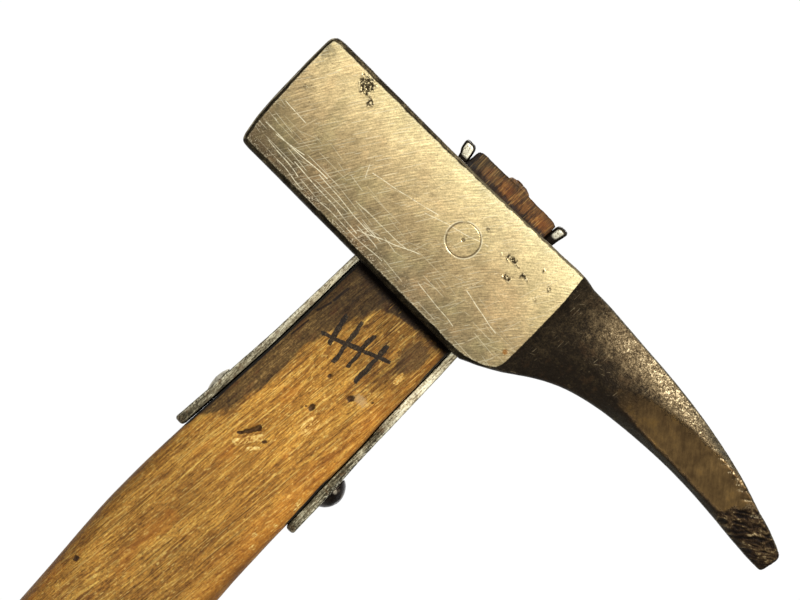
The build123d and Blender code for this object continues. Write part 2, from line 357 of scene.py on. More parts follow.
class Field:
    """A value over the surface. Arithmetic adds Math nodes; a | b is the larger of the two."""

    def __init__(self, mat, socket):
        self.mat = mat
        self.socket = socket

    def math(self, operation, second=0.0, third=0.0):
        return self.mat.math(operation, self, second, third)

    def __add__(self, other):
        return self.math("ADD", other)

    def __radd__(self, other):
        return self.mat.math("ADD", other, self)

    def __sub__(self, other):
        return self.math("SUBTRACT", other)

    def __rsub__(self, other):
        return self.mat.math("SUBTRACT", other, self)

    def __mul__(self, other):
        return self.math("MULTIPLY", other)

    def __truediv__(self, other):
        return self.math("DIVIDE", other)

    def __pow__(self, other):
        return self.math("POWER", other)

    def __or__(self, other):
        return self.math("MAXIMUM", other)

    def __abs__(self):
        return self.math("ABSOLUTE")

    def madd(self, factor, addend):
        return self.math("MULTIPLY_ADD", factor, addend)

    def root(self):
        return self.math("SQRT")

    def fract(self):
        return self.math("FRACT")

    def scramble(self, factor):
        """A random number from 0 to 1 for each value."""
        return (self.math("SINE") * factor).fract()

    def swing(self, amount):
        """A noise value as a shift to both sides of zero."""
        return (self - 0.5) * amount

    def step(self, start, end, low=0.0, high=1.0):
        """Smooth step from low at start to high at end; start may be above end."""
        if start > end:
            start, end, low, high = end, start, high, low
        return self.mat.field("MapRange", self, start, end, low, high,
                              interpolation_type="SMOOTHSTEP")

    def stretch(self, start=0.34, end=0.66, low=0.0, high=1.0):
        """Straight, clamped run from low at start to high at end; the defaults suit noise."""
        return self.mat.field("MapRange", self, start, end, low, high)

    def between(self, first, second):
        """Runs from one number to the other as this goes from 0 to 1."""
        return self.mat.field("Mix", self, None, first, second, data_type="FLOAT")

    def pick(self, first, second):
        """Runs from one colour to the other as this goes from 0 to 1."""
        return self.mat.mix(self, first, second)

    def blend(self, amount, colour):
        """This colour, with another laid over it by amount."""
        return self.mat.mix(amount, self, colour)

    def gain(self, factor):
        """This colour times a number."""
        grey = self.mat.field("CombineColor", factor, factor, factor)
        return self.mat.mix(1.0, self, grey, "MULTIPLY")

    def ramp(self, *stops):
        """Colour ramp through stops of (place, red, green, blue)."""
        node = self.mat.node("ValToRGB", self)
        elements = node.color_ramp.elements
        while len(elements) > 1:
            elements.remove(elements[-1])
        for i, (place, *colour) in enumerate(stops):
            element = elements.new(place) if i else elements[0]
            element.position = place
            element.color = (*srgb(*colour), 1.0)
        return Field(self.mat, node.outputs[0])

    def curve(self, points, domain, span):
        """Curve through points of (input, output), within an input domain and an output span."""
        unit = [((px - domain[0]) / (domain[1] - domain[0]), (py - span[0]) / (span[1] - span[0]))
                for px, py in points]
        node = self.mat.node("FloatCurve")
        curve = node.mapping.curves[0]
        curve.points[0].location = unit[0]
        curve.points[1].location = unit[-1]
        for place in unit[1:-1]:
            curve.points.new(*place)
        node.mapping.use_clip = False
        node.mapping.update()
        set_input(self.mat.tree, node.inputs["Value"], self.stretch(*domain))
        return Field(self.mat, node.outputs[0]).stretch(0.0, 1.0, *span)


def oval(dx, scale_x, dz, scale_z):
    """Distance from an oval's centre, given the offsets and one over each radius."""
    return ((dx * scale_x) ** 2.0 + (dz * scale_z) ** 2.0).root()


class Shader:
    """A node material with one Principled shader; x, y and z are mm as in the meshes."""

    def __init__(self, name):
        self.material = bpy.data.materials.new(name)
        self.material.use_nodes = True
        self.tree = self.material.node_tree
        self.tree.nodes.clear()
        output = self.node("OutputMaterial")
        self.surface = self.node("BsdfPrincipled")
        self.tree.links.new(self.surface.outputs[0], output.inputs[0])
        metres = self.node("TexCoord").outputs["Object"]
        self.position = self.node("VectorMath", metres, (1000, 1000, 1000), (0, 0, -HEAD_Z),
                                  operation="MULTIPLY_ADD").outputs[0]
        split = self.node("SeparateXYZ", self.position)
        self.x, self.y, self.z = (Field(self, socket) for socket in split.outputs)

    def node(self, kind, *inputs, **settings):
        return add_node(self.tree, kind, *inputs, **settings)

    def field(self, kind, *inputs, **settings):
        return Field(self, self.node(kind, *inputs, **settings).outputs[0])

    def math(self, operation, first, second, third=0.0):
        return self.field("Math", first, second, third, operation=operation)

    def mix(self, amount, first, second, blend_type="MIX"):
        """Mixes two colours; a Mix node's colour inputs are its seventh and eighth."""
        node = self.node("Mix", amount, *[None] * 5, linear(first), linear(second),
                         data_type="RGBA", blend_type=blend_type)
        return Field(self, node.outputs[2])

    def attr(self, name):
        node = self.node("Attribute", attribute_name=name)
        return Field(self, node.outputs["Fac"])

    def scaled(self, scale, shift=None):
        """The position times scale (one number or one per axis), then shifted."""
        scale = scale if isinstance(scale, tuple) else (scale,) * 3
        vector = self.node("VectorMath", self.position, scale, operation="MULTIPLY").outputs[0]
        if shift:
            vector = self.node("VectorMath", vector, shift, operation="ADD").outputs[0]
        return vector

    def noise_at(self, vector, detail, rough, distort=0.0):
        node = self.node("TexNoise")
        inputs = {"Vector": vector, "Scale": 1.0, "Detail": detail, "Roughness": rough,
                  "Distortion": distort}
        for key, value in inputs.items():
            set_input(self.tree, node.inputs[key], value)
        return Field(self, node.outputs["Fac"])

    def noise(self, scale, detail, rough, shift=None, distort=0.0):
        return self.noise_at(self.scaled(scale, shift), detail, rough, distort)

    def vector_noise(self, x, y, z, detail, rough):
        return self.noise_at(self.node("CombineXYZ", x, y, z).outputs[0], detail, rough)

    def fibres(self, across, along, detail, rough, x=None):
        """Noise drawn out along Z; x may be given a lean."""
        x = x or self.x
        return self.vector_noise(x * across, self.y * across, self.z * along, detail, rough)

    def cell_distance(self, scale):
        node = self.node("TexVoronoi")
        set_input(self.tree, node.inputs["Vector"], self.scaled(scale))
        node.inputs["Scale"].default_value = 1.0
        return Field(self, node.outputs["Distance"])

    def warped(self, scale, amount, detail):
        """X and Z, pushed about over amount mm."""
        push_x = self.noise(scale, detail, 0.5)
        push_z = self.noise(scale, detail, 0.5, shift=(31.0, 17.0, 5.0))
        return self.x + push_x.swing(amount), self.z + push_z.swing(amount)

    def stroke(self, place, ax, az, bx, bz, half_width, soft):
        """A straight mark from (ax, az) to (bx, bz) in the X-Z plane."""
        dx, dz = bx - ax, bz - az
        half = 0.5 * math.hypot(dx, dz)
        cos, sin = dx / (2 * half), dz / (2 * half)
        mid_x, mid_z = (ax + bx) / 2, (az + bz) / 2
        along = place[1].madd(sin, -mid_x * cos - mid_z * sin)
        along = abs(place[0].madd(cos, along))
        across = place[1].madd(cos, mid_x * sin - mid_z * cos)
        across = abs(place[0].madd(-sin, across))
        return (along.step(half + 0.5 * half_width, half - 1.5 * half_width)
                * across.step(half_width * (1 + soft), half_width * (1 - soft)))

    def scratches(self, deg, gap, length, width, share, tilt, seed):
        """Straight scratches at deg above +X, at most one in each cell of gap x length mm.

        share is the part of the cells that have one, and tilt how far they stray from deg.
        """
        cos, sin = math.cos(math.radians(deg)), math.sin(math.radians(deg))
        along = self.x.madd(cos / length, self.z * (sin / length))
        across = self.x.madd(-sin / gap, self.z * (cos / gap))
        row = across.math("FLOOR")
        along = along + row.madd(12.9898, seed).scramble(4375.85)
        # one number for the cell, different on either side of the object
        key = along.math("FLOOR").madd(78.233, row.madd(37.719, seed + 1.7))
        number = (key + self.y.math("SIGN") * 2.3).scramble(9631.17)
        place, lean, size = ((number * k).fract() for k in (17.31, 57.13, 113.77))
        from_mid = along.fract() - 0.5
        offset = (across.fract() - place.madd(0.5, 0.25)) - lean.swing(tilt) * from_mid
        line_width = size.madd(width / gap, 0.5 * width / gap)
        line = (abs(offset) / line_width).stretch(1.0, 0.0)
        ends = (lean.madd(0.36, 0.12) - abs(from_mid)).stretch(0.0, 0.10)
        return line * ends * (number.math("LESS_THAN", share) * size.madd(0.55, 0.45))

    def finish(self, colour, rough, metal, height, bump=0.9, specular=None):
        """Fills in the shader; height is in mm."""
        bump_node = self.node("Bump")
        set_input(self.tree, bump_node.inputs["Height"], height)
        bump_node.inputs["Strength"].default_value = bump
        bump_node.inputs["Distance"].default_value = 0.001
        inputs = {"Base Color": colour, "Roughness": rough, "Metallic": metal,
                  "Normal": bump_node.outputs[0]}
        if specular is not None:
            inputs["Specular IOR Level"] = specular
        for key, value in inputs.items():
            set_input(self.tree, self.surface.inputs[key], value)
        return self.material


# ============================================================ head
# Upper and lower outline: (X, Z)
TOP = [
    (-60.0, 33.2), (-59.2, 34.0), (-58.2, 34.6), (-57.0, 34.88), (-55.5, 35.0), (-20.3, 34.98),
    (16.41, 35.87), (20.09, 36.02), (23.77, 36.19), (26.5, 36.14), (27.9, 35.95), (30.26, 35.56),
    (34.79, 35.55), (38.46, 35.38), (42.14, 35.13), (45.81, 34.86), (49.49, 34.60),
    (53.16, 34.36), (56.84, 34.08), (60.52, 33.77), (64.19, 33.37), (67.86, 32.91),
    (71.54, 32.38), (75.22, 31.76), (78.89, 31.04), (82.56, 30.25), (86.24, 29.38),
    (89.91, 28.38), (93.59, 27.18), (97.27, 25.98), (100.94, 24.98), (104.61, 23.67),
    (108.29, 21.98), (109.3, 21.1)]
BOTTOM = [
    (-60.0, 1.5), (-58.6, 0.8), (-57.4, 0.35), (-56.0, 0.1), (-54.5, 0.0), (16.0, 0.0),
    (18.2, 0.2), (20.09, 0.68), (23.77, 2.05), (27.44, 4.62), (31.11, 7.25), (34.79, 9.73),
    (38.46, 11.76), (42.14, 13.33), (45.81, 14.5), (49.49, 15.38), (53.16, 16.05),
    (56.84, 16.53), (60.52, 16.92), (64.19, 17.22), (67.86, 17.45), (71.54, 17.62),
    (75.22, 17.69), (78.89, 17.64), (82.56, 17.49), (86.24, 17.25), (89.91, 16.98),
    (93.59, 16.64), (97.27, 16.3), (100.94, 16.02), (104.61, 15.84), (109.3, 15.9)]
# Where the ground cheek gives way to the pick: (Z, X)
CHEEK_END = [
    (-1.0, 19.8), (0.6, 20.6), (1.03, 21.3), (2.2, 23.4), (3.72, 25.23), (5.4, 26.35),
    (7.15, 26.9), (13.6, 27.02), (20.8, 26.93), (27.98, 26.68), (32.0, 26.25), (35.52, 25.87),
    (37.5, 25.75)]
# Upper and lower edge of the ground facet along the pick: (X, Z)
FACET_UP = [
    (46.0, 21.3), (50.23, 22.6), (54.63, 24.79), (61.0, 26.93), (67.38, 27.98), (70.31, 28.4),
    (77.91, 28.62), (83.55, 28.3), (88.8, 27.6), (93.83, 26.7), (97.0, 25.6)]
FACET_LOW = [
    (46.0, 21.3), (50.0, 20.7), (53.78, 20.05), (58.0, 19.6), (63.95, 19.28), (72.03, 19.06),
    (81.34, 18.84), (89.91, 18.75), (97.0, 18.4)]
# The striking face: (Z, X)
FACE_X = [
    (-1.0, -56.9), (1.0, -57.5), (4.0, -58.15), (8.0, -58.75), (14.0, -59.1), (20.0, -59.3),
    (28.0, -59.5), (33.0, -59.4), (34.3, -59.15), (35.5, -58.7)]
# Edge radii along the head, upper and lower: (X, radius)
EDGE_TOP = [(-60.0, 1.3), (-45.0, 1.15), (-20.0, 0.9), (20.0, 0.85), (27.0, 0.85), (40.0, 1.2),
            (80.0, 1.0), (105.0, 0.7)]
EDGE_BOTTOM = [(-60.0, 1.5), (-30.0, 1.4), (20.0, 1.4), (30.0, 1.2), (40.0, 1.3), (80.0, 1.0),
               (105.0, 0.7)]

# Stations along X before they follow the slanted features
NOM_FACE = -59.0
NOM_REAR, NOM_FRONT = -17.3, 16.4      # the eye's two end walls
NOM_END, NOM_TIP = 26.9, 108.4         # end of the cheek, tip of the pick
FACE_RADIUS, TIP_RADIUS = 1.15, 0.85
END_STEPS = 6                          # stations round each end's edge
SIDE_STEPS, CORNER_STEPS, LID_STEPS = 70, 4, 36


def head_shift(x, z):
    """How far a nominal station moves along X at height z."""
    knots = [(NOM_FACE, pchip(z, FACE_X) - NOM_FACE),
             (-45.0, 0.0),
             (NOM_REAR, (-17.74 + 0.024 * z) - NOM_REAR),
             (NOM_FRONT, (17.96 - 0.0903 * z) - NOM_FRONT),
             (NOM_END, pchip(z, CHEEK_END) - NOM_END),
             (48.0, 0.0),
             (100.0, 0.0),
             (NOM_TIP, (107.9 + 0.2 * (z - 15.95)) - NOM_TIP)]
    out = np.zeros(np.broadcast(x, z).shape)
    for (x0, shift0), (x1, shift1) in zip(knots, knots[1:]):
        t = np.clip((x - x0) / (x1 - x0), 0, 1)
        out = np.where((x >= x0) & (x <= x1), (1 - t) * shift0 + t * shift1, out)
    return out


def head_half(x, z):
    """Half thickness in Y."""
    top, bottom, end = pchip(x, TOP), pchip(x, BOTTOM), pchip(z, CHEEK_END)
    # slightly crowned ground cheeks
    block = 13.0 - 0.16 * ((z - 17.5) / 17.5) ** 2 - 0.10 * ((x + 16.0) / 43.0) ** 2
    past = np.maximum(x - end, 0.0)
    ridge = 8.45 + 4.35 * np.exp(-past / 5.6) - 0.046 * past
    up, low = pchip(x, FACET_UP), pchip(x, FACET_LOW)
    mid = 0.5 * (top + bottom)
    near_facet = smooth(27.0, 50.0, x)
    up = np.where(x < 50.0, mid * (1 - near_facet) + up * near_facet, up)
    low = np.where(x < 50.0, mid * (1 - near_facet) + low * near_facet, low)
    # the pick thins above and below the facet
    grow = smooth(0.0, 16.0, past)
    thin_up = (3.0 - 1.3 * smooth(50, 100, x)) * grow
    thin_low = (2.6 - 1.2 * smooth(45, 90, x)) * grow
    fall = (thin_up * np.clip((z - up) / np.maximum(top - up, 2.0), 0, 1.05) ** 1.45
            + thin_low * np.clip((low - z) / np.maximum(low - bottom, 1.0), 0, 1.05) ** 1.3)
    return np.where(x <= end, block, np.minimum(ridge - fall, block))


def head_stations():
    """Nominal X of every section, and how far its outline is drawn in at the ends."""
    stations, inset = [], []
    for k in range(END_STEPS, 0, -1):
        angle = math.radians(90.0 * k / END_STEPS)
        stations.append(NOM_FACE + FACE_RADIUS * (1 - math.sin(angle)))
        inset.append(FACE_RADIUS * (1 - math.cos(angle)))
    spans = [(NOM_FACE + FACE_RADIUS, NOM_REAR, 84), (NOM_REAR, NOM_FRONT, 66),
             (NOM_FRONT, NOM_END, 22), (NOM_END, 29.4, 10), (29.4, 91.0, 122),
             (91.0, NOM_TIP - TIP_RADIUS, 66)]
    body = []
    for start, end, count in spans:
        body += list(np.linspace(start, end, count + 1))[:-1]
    body.append(NOM_TIP - TIP_RADIUS)
    stations += body
    inset += [0.0] * len(body)
    for k in range(1, END_STEPS + 1):
        angle = math.radians(90.0 * k / END_STEPS)
        stations.append(NOM_TIP - TIP_RADIUS * (1 - math.sin(angle)))
        inset.append(TIP_RADIUS * (1 - math.cos(angle)))
    return np.array(stations), np.array(inset)


def crown_face(patch, u, v):
    """Swells the striking face by 0.35 mm at its middle (16 brings the product to 1 there)."""
    patch[..., 0] -= 0.35 * 16 * u * (1 - u) * v * (1 - v)
    return patch


def build_head():
    """The head's closed mesh with its open eye, and the indices of the eye's wall."""
    xs, inset = head_stations()
    top = pchip(xs + head_shift(xs, pchip(xs, TOP)), TOP) - inset
    bottom = pchip(xs + head_shift(xs, np.maximum(pchip(xs, BOTTOM), 0)), BOTTOM) + inset
    radius_top = np.minimum(pchip(xs, EDGE_TOP), 0.3 * (top - bottom))
    radius_low = np.minimum(pchip(xs, EDGE_BOTTOM), 0.3 * (top - bottom))

    def half_at(z):
        return head_half(xs + head_shift(xs, z), z) - inset

    # the rounded edges start where they meet the side's slope
    centre_low, centre_top = bottom + radius_low, top - radius_top
    probe = 0.15
    slope_low = np.arctan((half_at(centre_low + probe) - half_at(centre_low)) / probe)
    slope_top = np.arctan((half_at(centre_top - probe) - half_at(centre_top)) / probe)
    slope_low, slope_top = np.clip(slope_low, -0.1, 0.75), np.clip(slope_top, -0.1, 0.75)
    start_low = centre_low - radius_low * np.sin(slope_low)
    start_top = centre_top + radius_top * np.sin(slope_top)
    y_low = half_at(start_low) - radius_low * np.cos(slope_low)
    y_top = half_at(start_top) - radius_top * np.cos(slope_top)

    # one side, from the lower edge's 45 degree point to the upper's
    side = []
    for k in range(CORNER_STEPS):
        angle = -math.pi / 4 + (math.pi / 4 - slope_low) * (k / CORNER_STEPS)
        side.append((y_low + radius_low * np.cos(angle), centre_low + radius_low * np.sin(angle)))
    for k in range(SIDE_STEPS + 1):
        z = start_low + (start_top - start_low) * (k / SIDE_STEPS)
        side.append((half_at(z), z))
    for k in range(1, CORNER_STEPS + 1):
        angle = slope_top + (math.pi / 4 - slope_top) * (k / CORNER_STEPS)
        side.append((y_top + radius_top * np.cos(angle), centre_top + radius_top * np.sin(angle)))
    side_y, side_z = (np.stack(column, 1) for column in zip(*side))

    def lid(centre_y, centre_z, radius, up):
        """Across the top (up 1) or the bottom (up -1), between the 45 degree points."""
        angles = [math.pi / 4 + math.pi / 4 * k / CORNER_STEPS
                  for k in range(1, CORNER_STEPS + 1)]
        columns = [(centre_y + radius * math.cos(a), centre_z + up * radius * math.sin(a))
                   for a in angles]
        for k in range(1, LID_STEPS):
            columns.append((centre_y * (1 - 2 * k / LID_STEPS), centre_z + up * radius))
        columns += [(-(centre_y + radius * math.cos(a)), centre_z + up * radius * math.sin(a))
                    for a in angles[::-1]]
        return (np.stack(column, 1) for column in zip(*columns))

    # up the +Y side, over the top to -Y, down the -Y side, back along the bottom
    lid_y, lid_z = lid(y_top, centre_top, radius_top, 1)
    sole_y, sole_z = lid(y_low, centre_low, radius_low, -1)
    y = np.concatenate([side_y, lid_y, -side_y[:, ::-1], sole_y[:, ::-1]], axis=1)
    z = np.concatenate([side_z, lid_z, side_z[:, ::-1], sole_z[:, ::-1]], axis=1)
    x = xs[:, None] + head_shift(xs[:, None], z)
    points = np.stack([x, y, z], axis=-1)
    n_side, n_lid = side_y.shape[1], lid_y.shape[1]
    corners = (0, n_side - 1, n_side + n_lid, 2 * n_side + n_lid - 1)

    # the eye takes the middle two thirds of the lid; its faces are left out
    rear, front, cheek_end = (int(np.argmin(abs(xs - station)))
                              for station in (NOM_REAR, NOM_FRONT, NOM_END))
    first, last = LID_STEPS // 6, LID_STEPS - LID_STEPS // 6
    top_start = n_side + CORNER_STEPS - 1
    low_start = 2 * n_side + n_lid + CORNER_STEPS - 1
    keep = np.ones((len(xs) - 1, points.shape[1]), dtype=bool)
    for start in (top_start, low_start):
        keep[rear:front, start + first:start + last] = False
    mats = np.zeros(keep.shape, dtype=int)
    mats[cheek_end:, :] = 1
    skin = Skin()
    idx = skin.add(points)
    skin.faces(idx, mats, closed=True, keep=keep)

    def eye_ring(start, step):
        """Rear wall from +Y to -Y, forward along -Y, and back along +Y."""
        across = list(range(start + first, start + last + 1))[::step]
        loop = [(rear, k) for k in across]
        loop += [(i, across[-1]) for i in range(rear + 1, front)]
        loop += [(front, k) for k in across[::-1]]
        loop += [(i, across[0]) for i in range(front - 1, rear, -1)]
        return tuple(np.array(loop).T)

    upper, lower = eye_ring(top_start, 1), eye_ring(low_start, -1)
    rows = 7
    rings = np.stack([points[upper] * (1 - k / rows) + points[lower] * (k / rows)
                      for k in range(1, rows)])
    wall = skin.bridge(idx[upper], rings, idx[lower])
    skin.cap(idx[0], points[0], corners, flip=True, shape=crown_face)
    skin.cap(idx[-1], points[-1], corners, 1)
    return skin.arrays(), wall


# Corrosion pits: (X, Z, radius in X, radius in Z, depth), on the -Y and the +Y cheek
PITS_MINUS_Y = [
    (-45.3, 31.7, 1.9, 1.9, 0.16), (-44.3, 30.3, 1.1, 1.2, 0.15), (-41.3, 28.9, 1.1, 0.8, 0.17),
    (-42.5, 30.0, 0.45, 0.4, 0.12), (9.2, 26.3, 1.25, 1.1, 0.20), (10.9, 26.6, 0.9, 0.7, 0.17),
    (12.7, 26.2, 0.5, 0.35, 0.12), (15.6, 25.7, 1.0, 0.75, 0.20), (14.7, 25.0, 0.45, 0.4, 0.14),
    (12.6, 22.3, 1.0, 0.65, 0.20), (11.7, 21.8, 0.5, 0.4, 0.14), (17.1, 30.5, 0.35, 0.3, 0.14),
    (18.0, 30.1, 0.35, 0.3, 0.14), (17.8, 31.0, 0.3, 0.25, 0.12), (21.9, 27.7, 0.65, 0.45, 0.2),
    (21.4, 23.6, 0.5, 0.5, 0.1), (0.9, 27.6, 0.5, 0.4, 0.1), (25.3, 9.3, 0.7, 0.75, 0.08),
    (-47.8, 26.4, 0.4, 0.5, 0.07), (-55.6, 20.5, 0.45, 0.5, 0.08)]
PITS_PLUS_Y = [
    (-12.4, 8.6, 1.3, 1.0, 0.2), (-10.3, 9.6, 0.7, 0.5, 0.16), (3.6, 29.5, 1.0, 0.7, 0.2),
    (-38.5, 12.4, 0.9, 1.1, 0.2), (-36.4, 11.3, 0.6, 0.5, 0.15), (19.4, 14.6, 1.0, 0.8, 0.18)]
# Chips along the pick's upper edge: (X, width, depth)
CHIPS = [
    (80.3, 0.9, 0.34), (83.2, 0.5, 0.26), (84.9, 0.9, 0.30), (86.9, 0.5, 0.2), (91.8, 0.8, 0.26),
    (94.4, 0.6, 0.3), (76.2, 0.5, 0.16), (98.6, 0.7, 0.26), (62.5, 0.5, 0.14), (54.1, 0.6, 0.15),
    (46.8, 0.5, 0.12), (88.9, 0.7, 0.24), (90.2, 0.5, 0.2)]


def sink_pits(verts, side_on, disp):
    """Sinks the pits into disp and returns how much each vertex lies in one."""
    x, y, z = verts.T
    pit = np.zeros(len(verts))
    for side, pits in ((-1, PITS_MINUS_Y), (1, PITS_PLUS_Y)):
        for k, (pit_x, pit_z, radius_x, radius_z, depth) in enumerate(pits):
            dist = np.hypot((x - pit_x) / radius_x, (z - pit_z) / radius_z)
            near = (y * side > 0) & (side_on > 0.8) & (dist < 2.0)
            if near.any():
                ragged = dist[near] + 0.95 * fbm(verts[near], 0.85, 3, seed=40 + k)
                disp[near] -= depth * smooth(0.95, 0.6, ragged)
                mark = smooth(1.15, 0.85, ragged) * min(1.0, depth / 0.14)
                pit[near] = np.maximum(pit[near], mark)
    return pit


def tip_ridges(verts):
    """Overlapping ridges at 38 degrees for the battered tip."""
    cos, sin = math.cos(math.radians(38)), math.sin(math.radians(38))
    turned = verts.copy()
    turned[:, 0] = verts[:, 0] * cos + verts[:, 2] * sin
    turned[:, 2] = -verts[:, 0] * sin + verts[:, 2] * cos
    turned[:, 2] += 0.5 * fbm(verts, 2.5, 2, seed=39)
    coarse = 1 - np.abs(fbm(turned, (4.2, 3.0, 1.05), 3, seed=35)) * 2.2
    fine = 1 - np.abs(fbm(turned, (1.9, 1.4, 0.5), 2, seed=36)) * 2.2
    return 0.34 * (coarse - 0.7) + 0.12 * (fine - 0.7)


def displace_head(verts, faces, wall):
    """Roughens the head; returns its vertices and the attributes its materials read."""
    normal = normals(verts, faces)
    x, y, z = verts.T
    side_on = np.abs(normal[:, 1])
    past_cheek = x - pchip(z, CHEEK_END)
    on_block = smooth(0.4, -0.4, past_cheek)
    pick = 1 - on_block
    cheek = smooth(0.9, 0.985, side_on) * on_block
    edge = smooth(0.08, 0.3, 1 - np.max(np.abs(normal), axis=1)) * on_block
    up = pchip(x, FACET_UP) + 1.7 * smooth(77.5, 84.5, x)
    in_facet = np.minimum(up - z, z - pchip(x, FACET_LOW))
    in_facet = np.where(x < 50, in_facet - (50 - x) * 0.35, in_facet)
    # the battered tip starts on a diagonal
    past_tip = x - (90.65 + (z - 19.28) * 0.73)
    tip = smooth(-1.6, 1.6, past_tip + 1.2 * fbm(verts, 2.0, 3, seed=5))
    facet = (smooth(-0.15, 0.35, in_facet + 0.25 * fbm(verts, 1.6, 3, seed=6))
             * (1 - tip) * smooth(46, 52, x))
    disp = np.zeros(len(verts))
    # block: broad waves of hand grinding, worn and nicked edges
    disp += cheek * 0.035 * fbm(verts, 11.0, 2, seed=11)
    disp += (1 - cheek) * on_block * (0.09 * fbm(verts, 7.0, 3, seed=12)
                                      + 0.05 * fbm(verts, 1.8, 3, seed=13))
    disp -= edge * 0.8 * np.clip(fbm(verts, 2.6, 3, seed=14) - 0.30, 0, 1)
    pit = sink_pits(verts, side_on, disp)
    # striking face: shallow hammer marks
    face = smooth(0.7, 0.95, -normal[:, 0]) * (x < -50)
    dist, number = worley(verts + 3.0, 3.6, seed=21)
    disp -= face * (0.16 * smooth(0.55, 0.1, dist) * (number > 0.35)
                    + 0.04 * fbm(verts, 1.5, 2, seed=22))
    # pick: forge scale, coarser near the upper edge; the outline itself stays smooth
    top, bottom = pchip(x, TOP), pchip(x, BOTTOM)
    height_share = np.clip((z - bottom) / np.maximum(top - bottom, 1.0), -0.05, 1.05)
    upper = smooth(0.55, 0.95, height_share)
    face_on = smooth(0.25, 0.7, side_on)
    scale = pick * (1 - facet) * (1 - tip)
    disp += scale * (0.35 + 0.65 * face_on) * (0.11 * fbm(verts, 4.5, 3, seed=31)
                                               + 0.06 * fbm(verts, 1.3, 3, seed=32))
    dist, number = worley(verts, 1.5, seed=33)
    disp -= (scale * face_on * (0.07 + 0.12 * upper)
             * smooth(0.45, 0.08, dist) * (number > 0.45))
    dist, number = worley(verts + 9.0, 0.9, seed=37)
    disp -= scale * face_on * upper * 0.07 * smooth(0.5, 0.1, dist) * (number > 0.4)
    disp += pick * facet * (0.02 * fbm(verts, (2.0, 2.0, 9.0), 2, seed=34)
                            + 0.02 * fbm(verts, 5.0, 2, seed=38))
    chip = np.zeros(len(verts))
    for chip_x, width, depth in CHIPS:
        offset = x - chip_x - (z - top) * 0.9 + 0.15 * np.sign(y)
        weight = np.exp(-(offset / (0.55 * width)) ** 2) * smooth(-3.6, -1.2, z - top)
        chip = np.maximum(chip, weight * face_on)
        disp -= pick * weight * depth * (0.15 + 0.85 * face_on)
    disp += pick * tip * (0.2 + 0.8 * face_on) * tip_ridges(verts)
    disp[wall] *= 0.2
    face_gap = np.where(x < -40, (x - pchip(z, FACE_X)) * 1.35, 99.0)
    attrs = {
        "cheek": smooth(0.80, 0.97, side_on) * on_block,
        "d_end": past_cheek,
        "d_facet": in_facet,
        "d_tip": past_tip,
        "rim": np.minimum(np.minimum(top - z, z - bottom), face_gap),
        "hp": height_share,
        "ny": side_on,
        "nz": normal[:, 2],
        "cav": disp,
        "pit": pit,
        "chip": chip,
        "nx": normal[:, 0],
    }
    return verts + normal * disp[:, None], attrs


# ============================================================ ground cheeks
# Long scratches on the -Y cheek: (from X, from Z, to X, to Z, strength)
MARKS = [
    (-56.1, 7.4, -35.6, 8.1, 1.0), (-56.6, 14.6, -49.0, 14.7, 0.8), (-52.1, 7.1, -43.4, 8.5, 0.8),
    (-52.3, 4.9, -40.9, 3.9, 0.9), (-55.4, 9.8, -54.3, 9.6, 0.7),
    (-29.0, 17.3, -10.1, 21.5, 0.75), (-21.6, 5.0, -6.3, 11.2, 0.8), (8.0, 13.3, 20.4, 10.9, 0.7),
    (-44.0, 5.6, -21.0, 4.3, 0.9), (-38.0, 7.4, -17.0, 6.6, 0.7), (-34.0, 3.1, -12.0, 3.6, 0.7),
    (-27.0, 9.6, -9.0, 9.9, 0.55), (-31.0, 18.6, -29.2, 15.0, 0.5),
    (-13.0, 19.6, 4.0, 24.6, 0.55), (-2.0, 6.4, 12.0, 4.8, 0.6), (-47.5, 3.0, -38.0, 2.6, 0.8)]
# Brightness along the cheek's lower edge: (X, factor)
LOWER_WEAR = [
    (-60.0, 0.96), (-50.0, 0.90), (-42.0, 0.82), (-36.0, 0.90), (-28.0, 1.16), (-18.0, 1.02),
    (-6.0, 1.18), (6.0, 1.02), (20.0, 1.14), (28.0, 1.08)]
WHEEL_X, WHEEL_Z = 96.0, -62.0         # centre of the grinding arcs
PUNCH_X, PUNCH_Z = -1.5, 21.4          # round punch mark
PUNCH_RADIUS = 4.3


def cheek_textures(mat):
    """The fields that several layers of the cheek share."""
    dx, dz = mat.x - WHEEL_X, mat.z - WHEEL_Z
    radius = (dx * dx + dz * dz).root()
    angle = dz.math("ARCTAN2", dx)
    side = mat.y.math("SIGN")
    return SimpleNamespace(
        radius=radius,
        # fine to broad lines along the grinding arcs
        fine=mat.vector_noise(radius * 3.3, angle * 28.0, side, detail=1, rough=0.6),
        finer=mat.vector_noise(radius * 4.2, angle * 70.0, side + 3.0, detail=1, rough=0.5),
        broad=mat.vector_noise(radius * 0.9, angle * 18.0, side + 5.0, detail=2, rough=0.55),
        grit=mat.noise(2.9, detail=1, rough=0.6, shift=(3.0, 1.0, 9.0)),
        drift=mat.noise(0.055, detail=3, rough=0.55),
        patch=mat.noise(0.17, detail=4, rough=0.62),
        cloud=mat.noise(0.42, detail=4, rough=0.65, shift=(2.0, 0.0, 5.0)),
        front=mat.y.step(1.0, -1.0),           # 1 on the -Y cheek
        rim=mat.attr("rim"),
        pit=mat.attr("pit"),
        fleck=mat.noise(1.5, detail=2, rough=0.7))


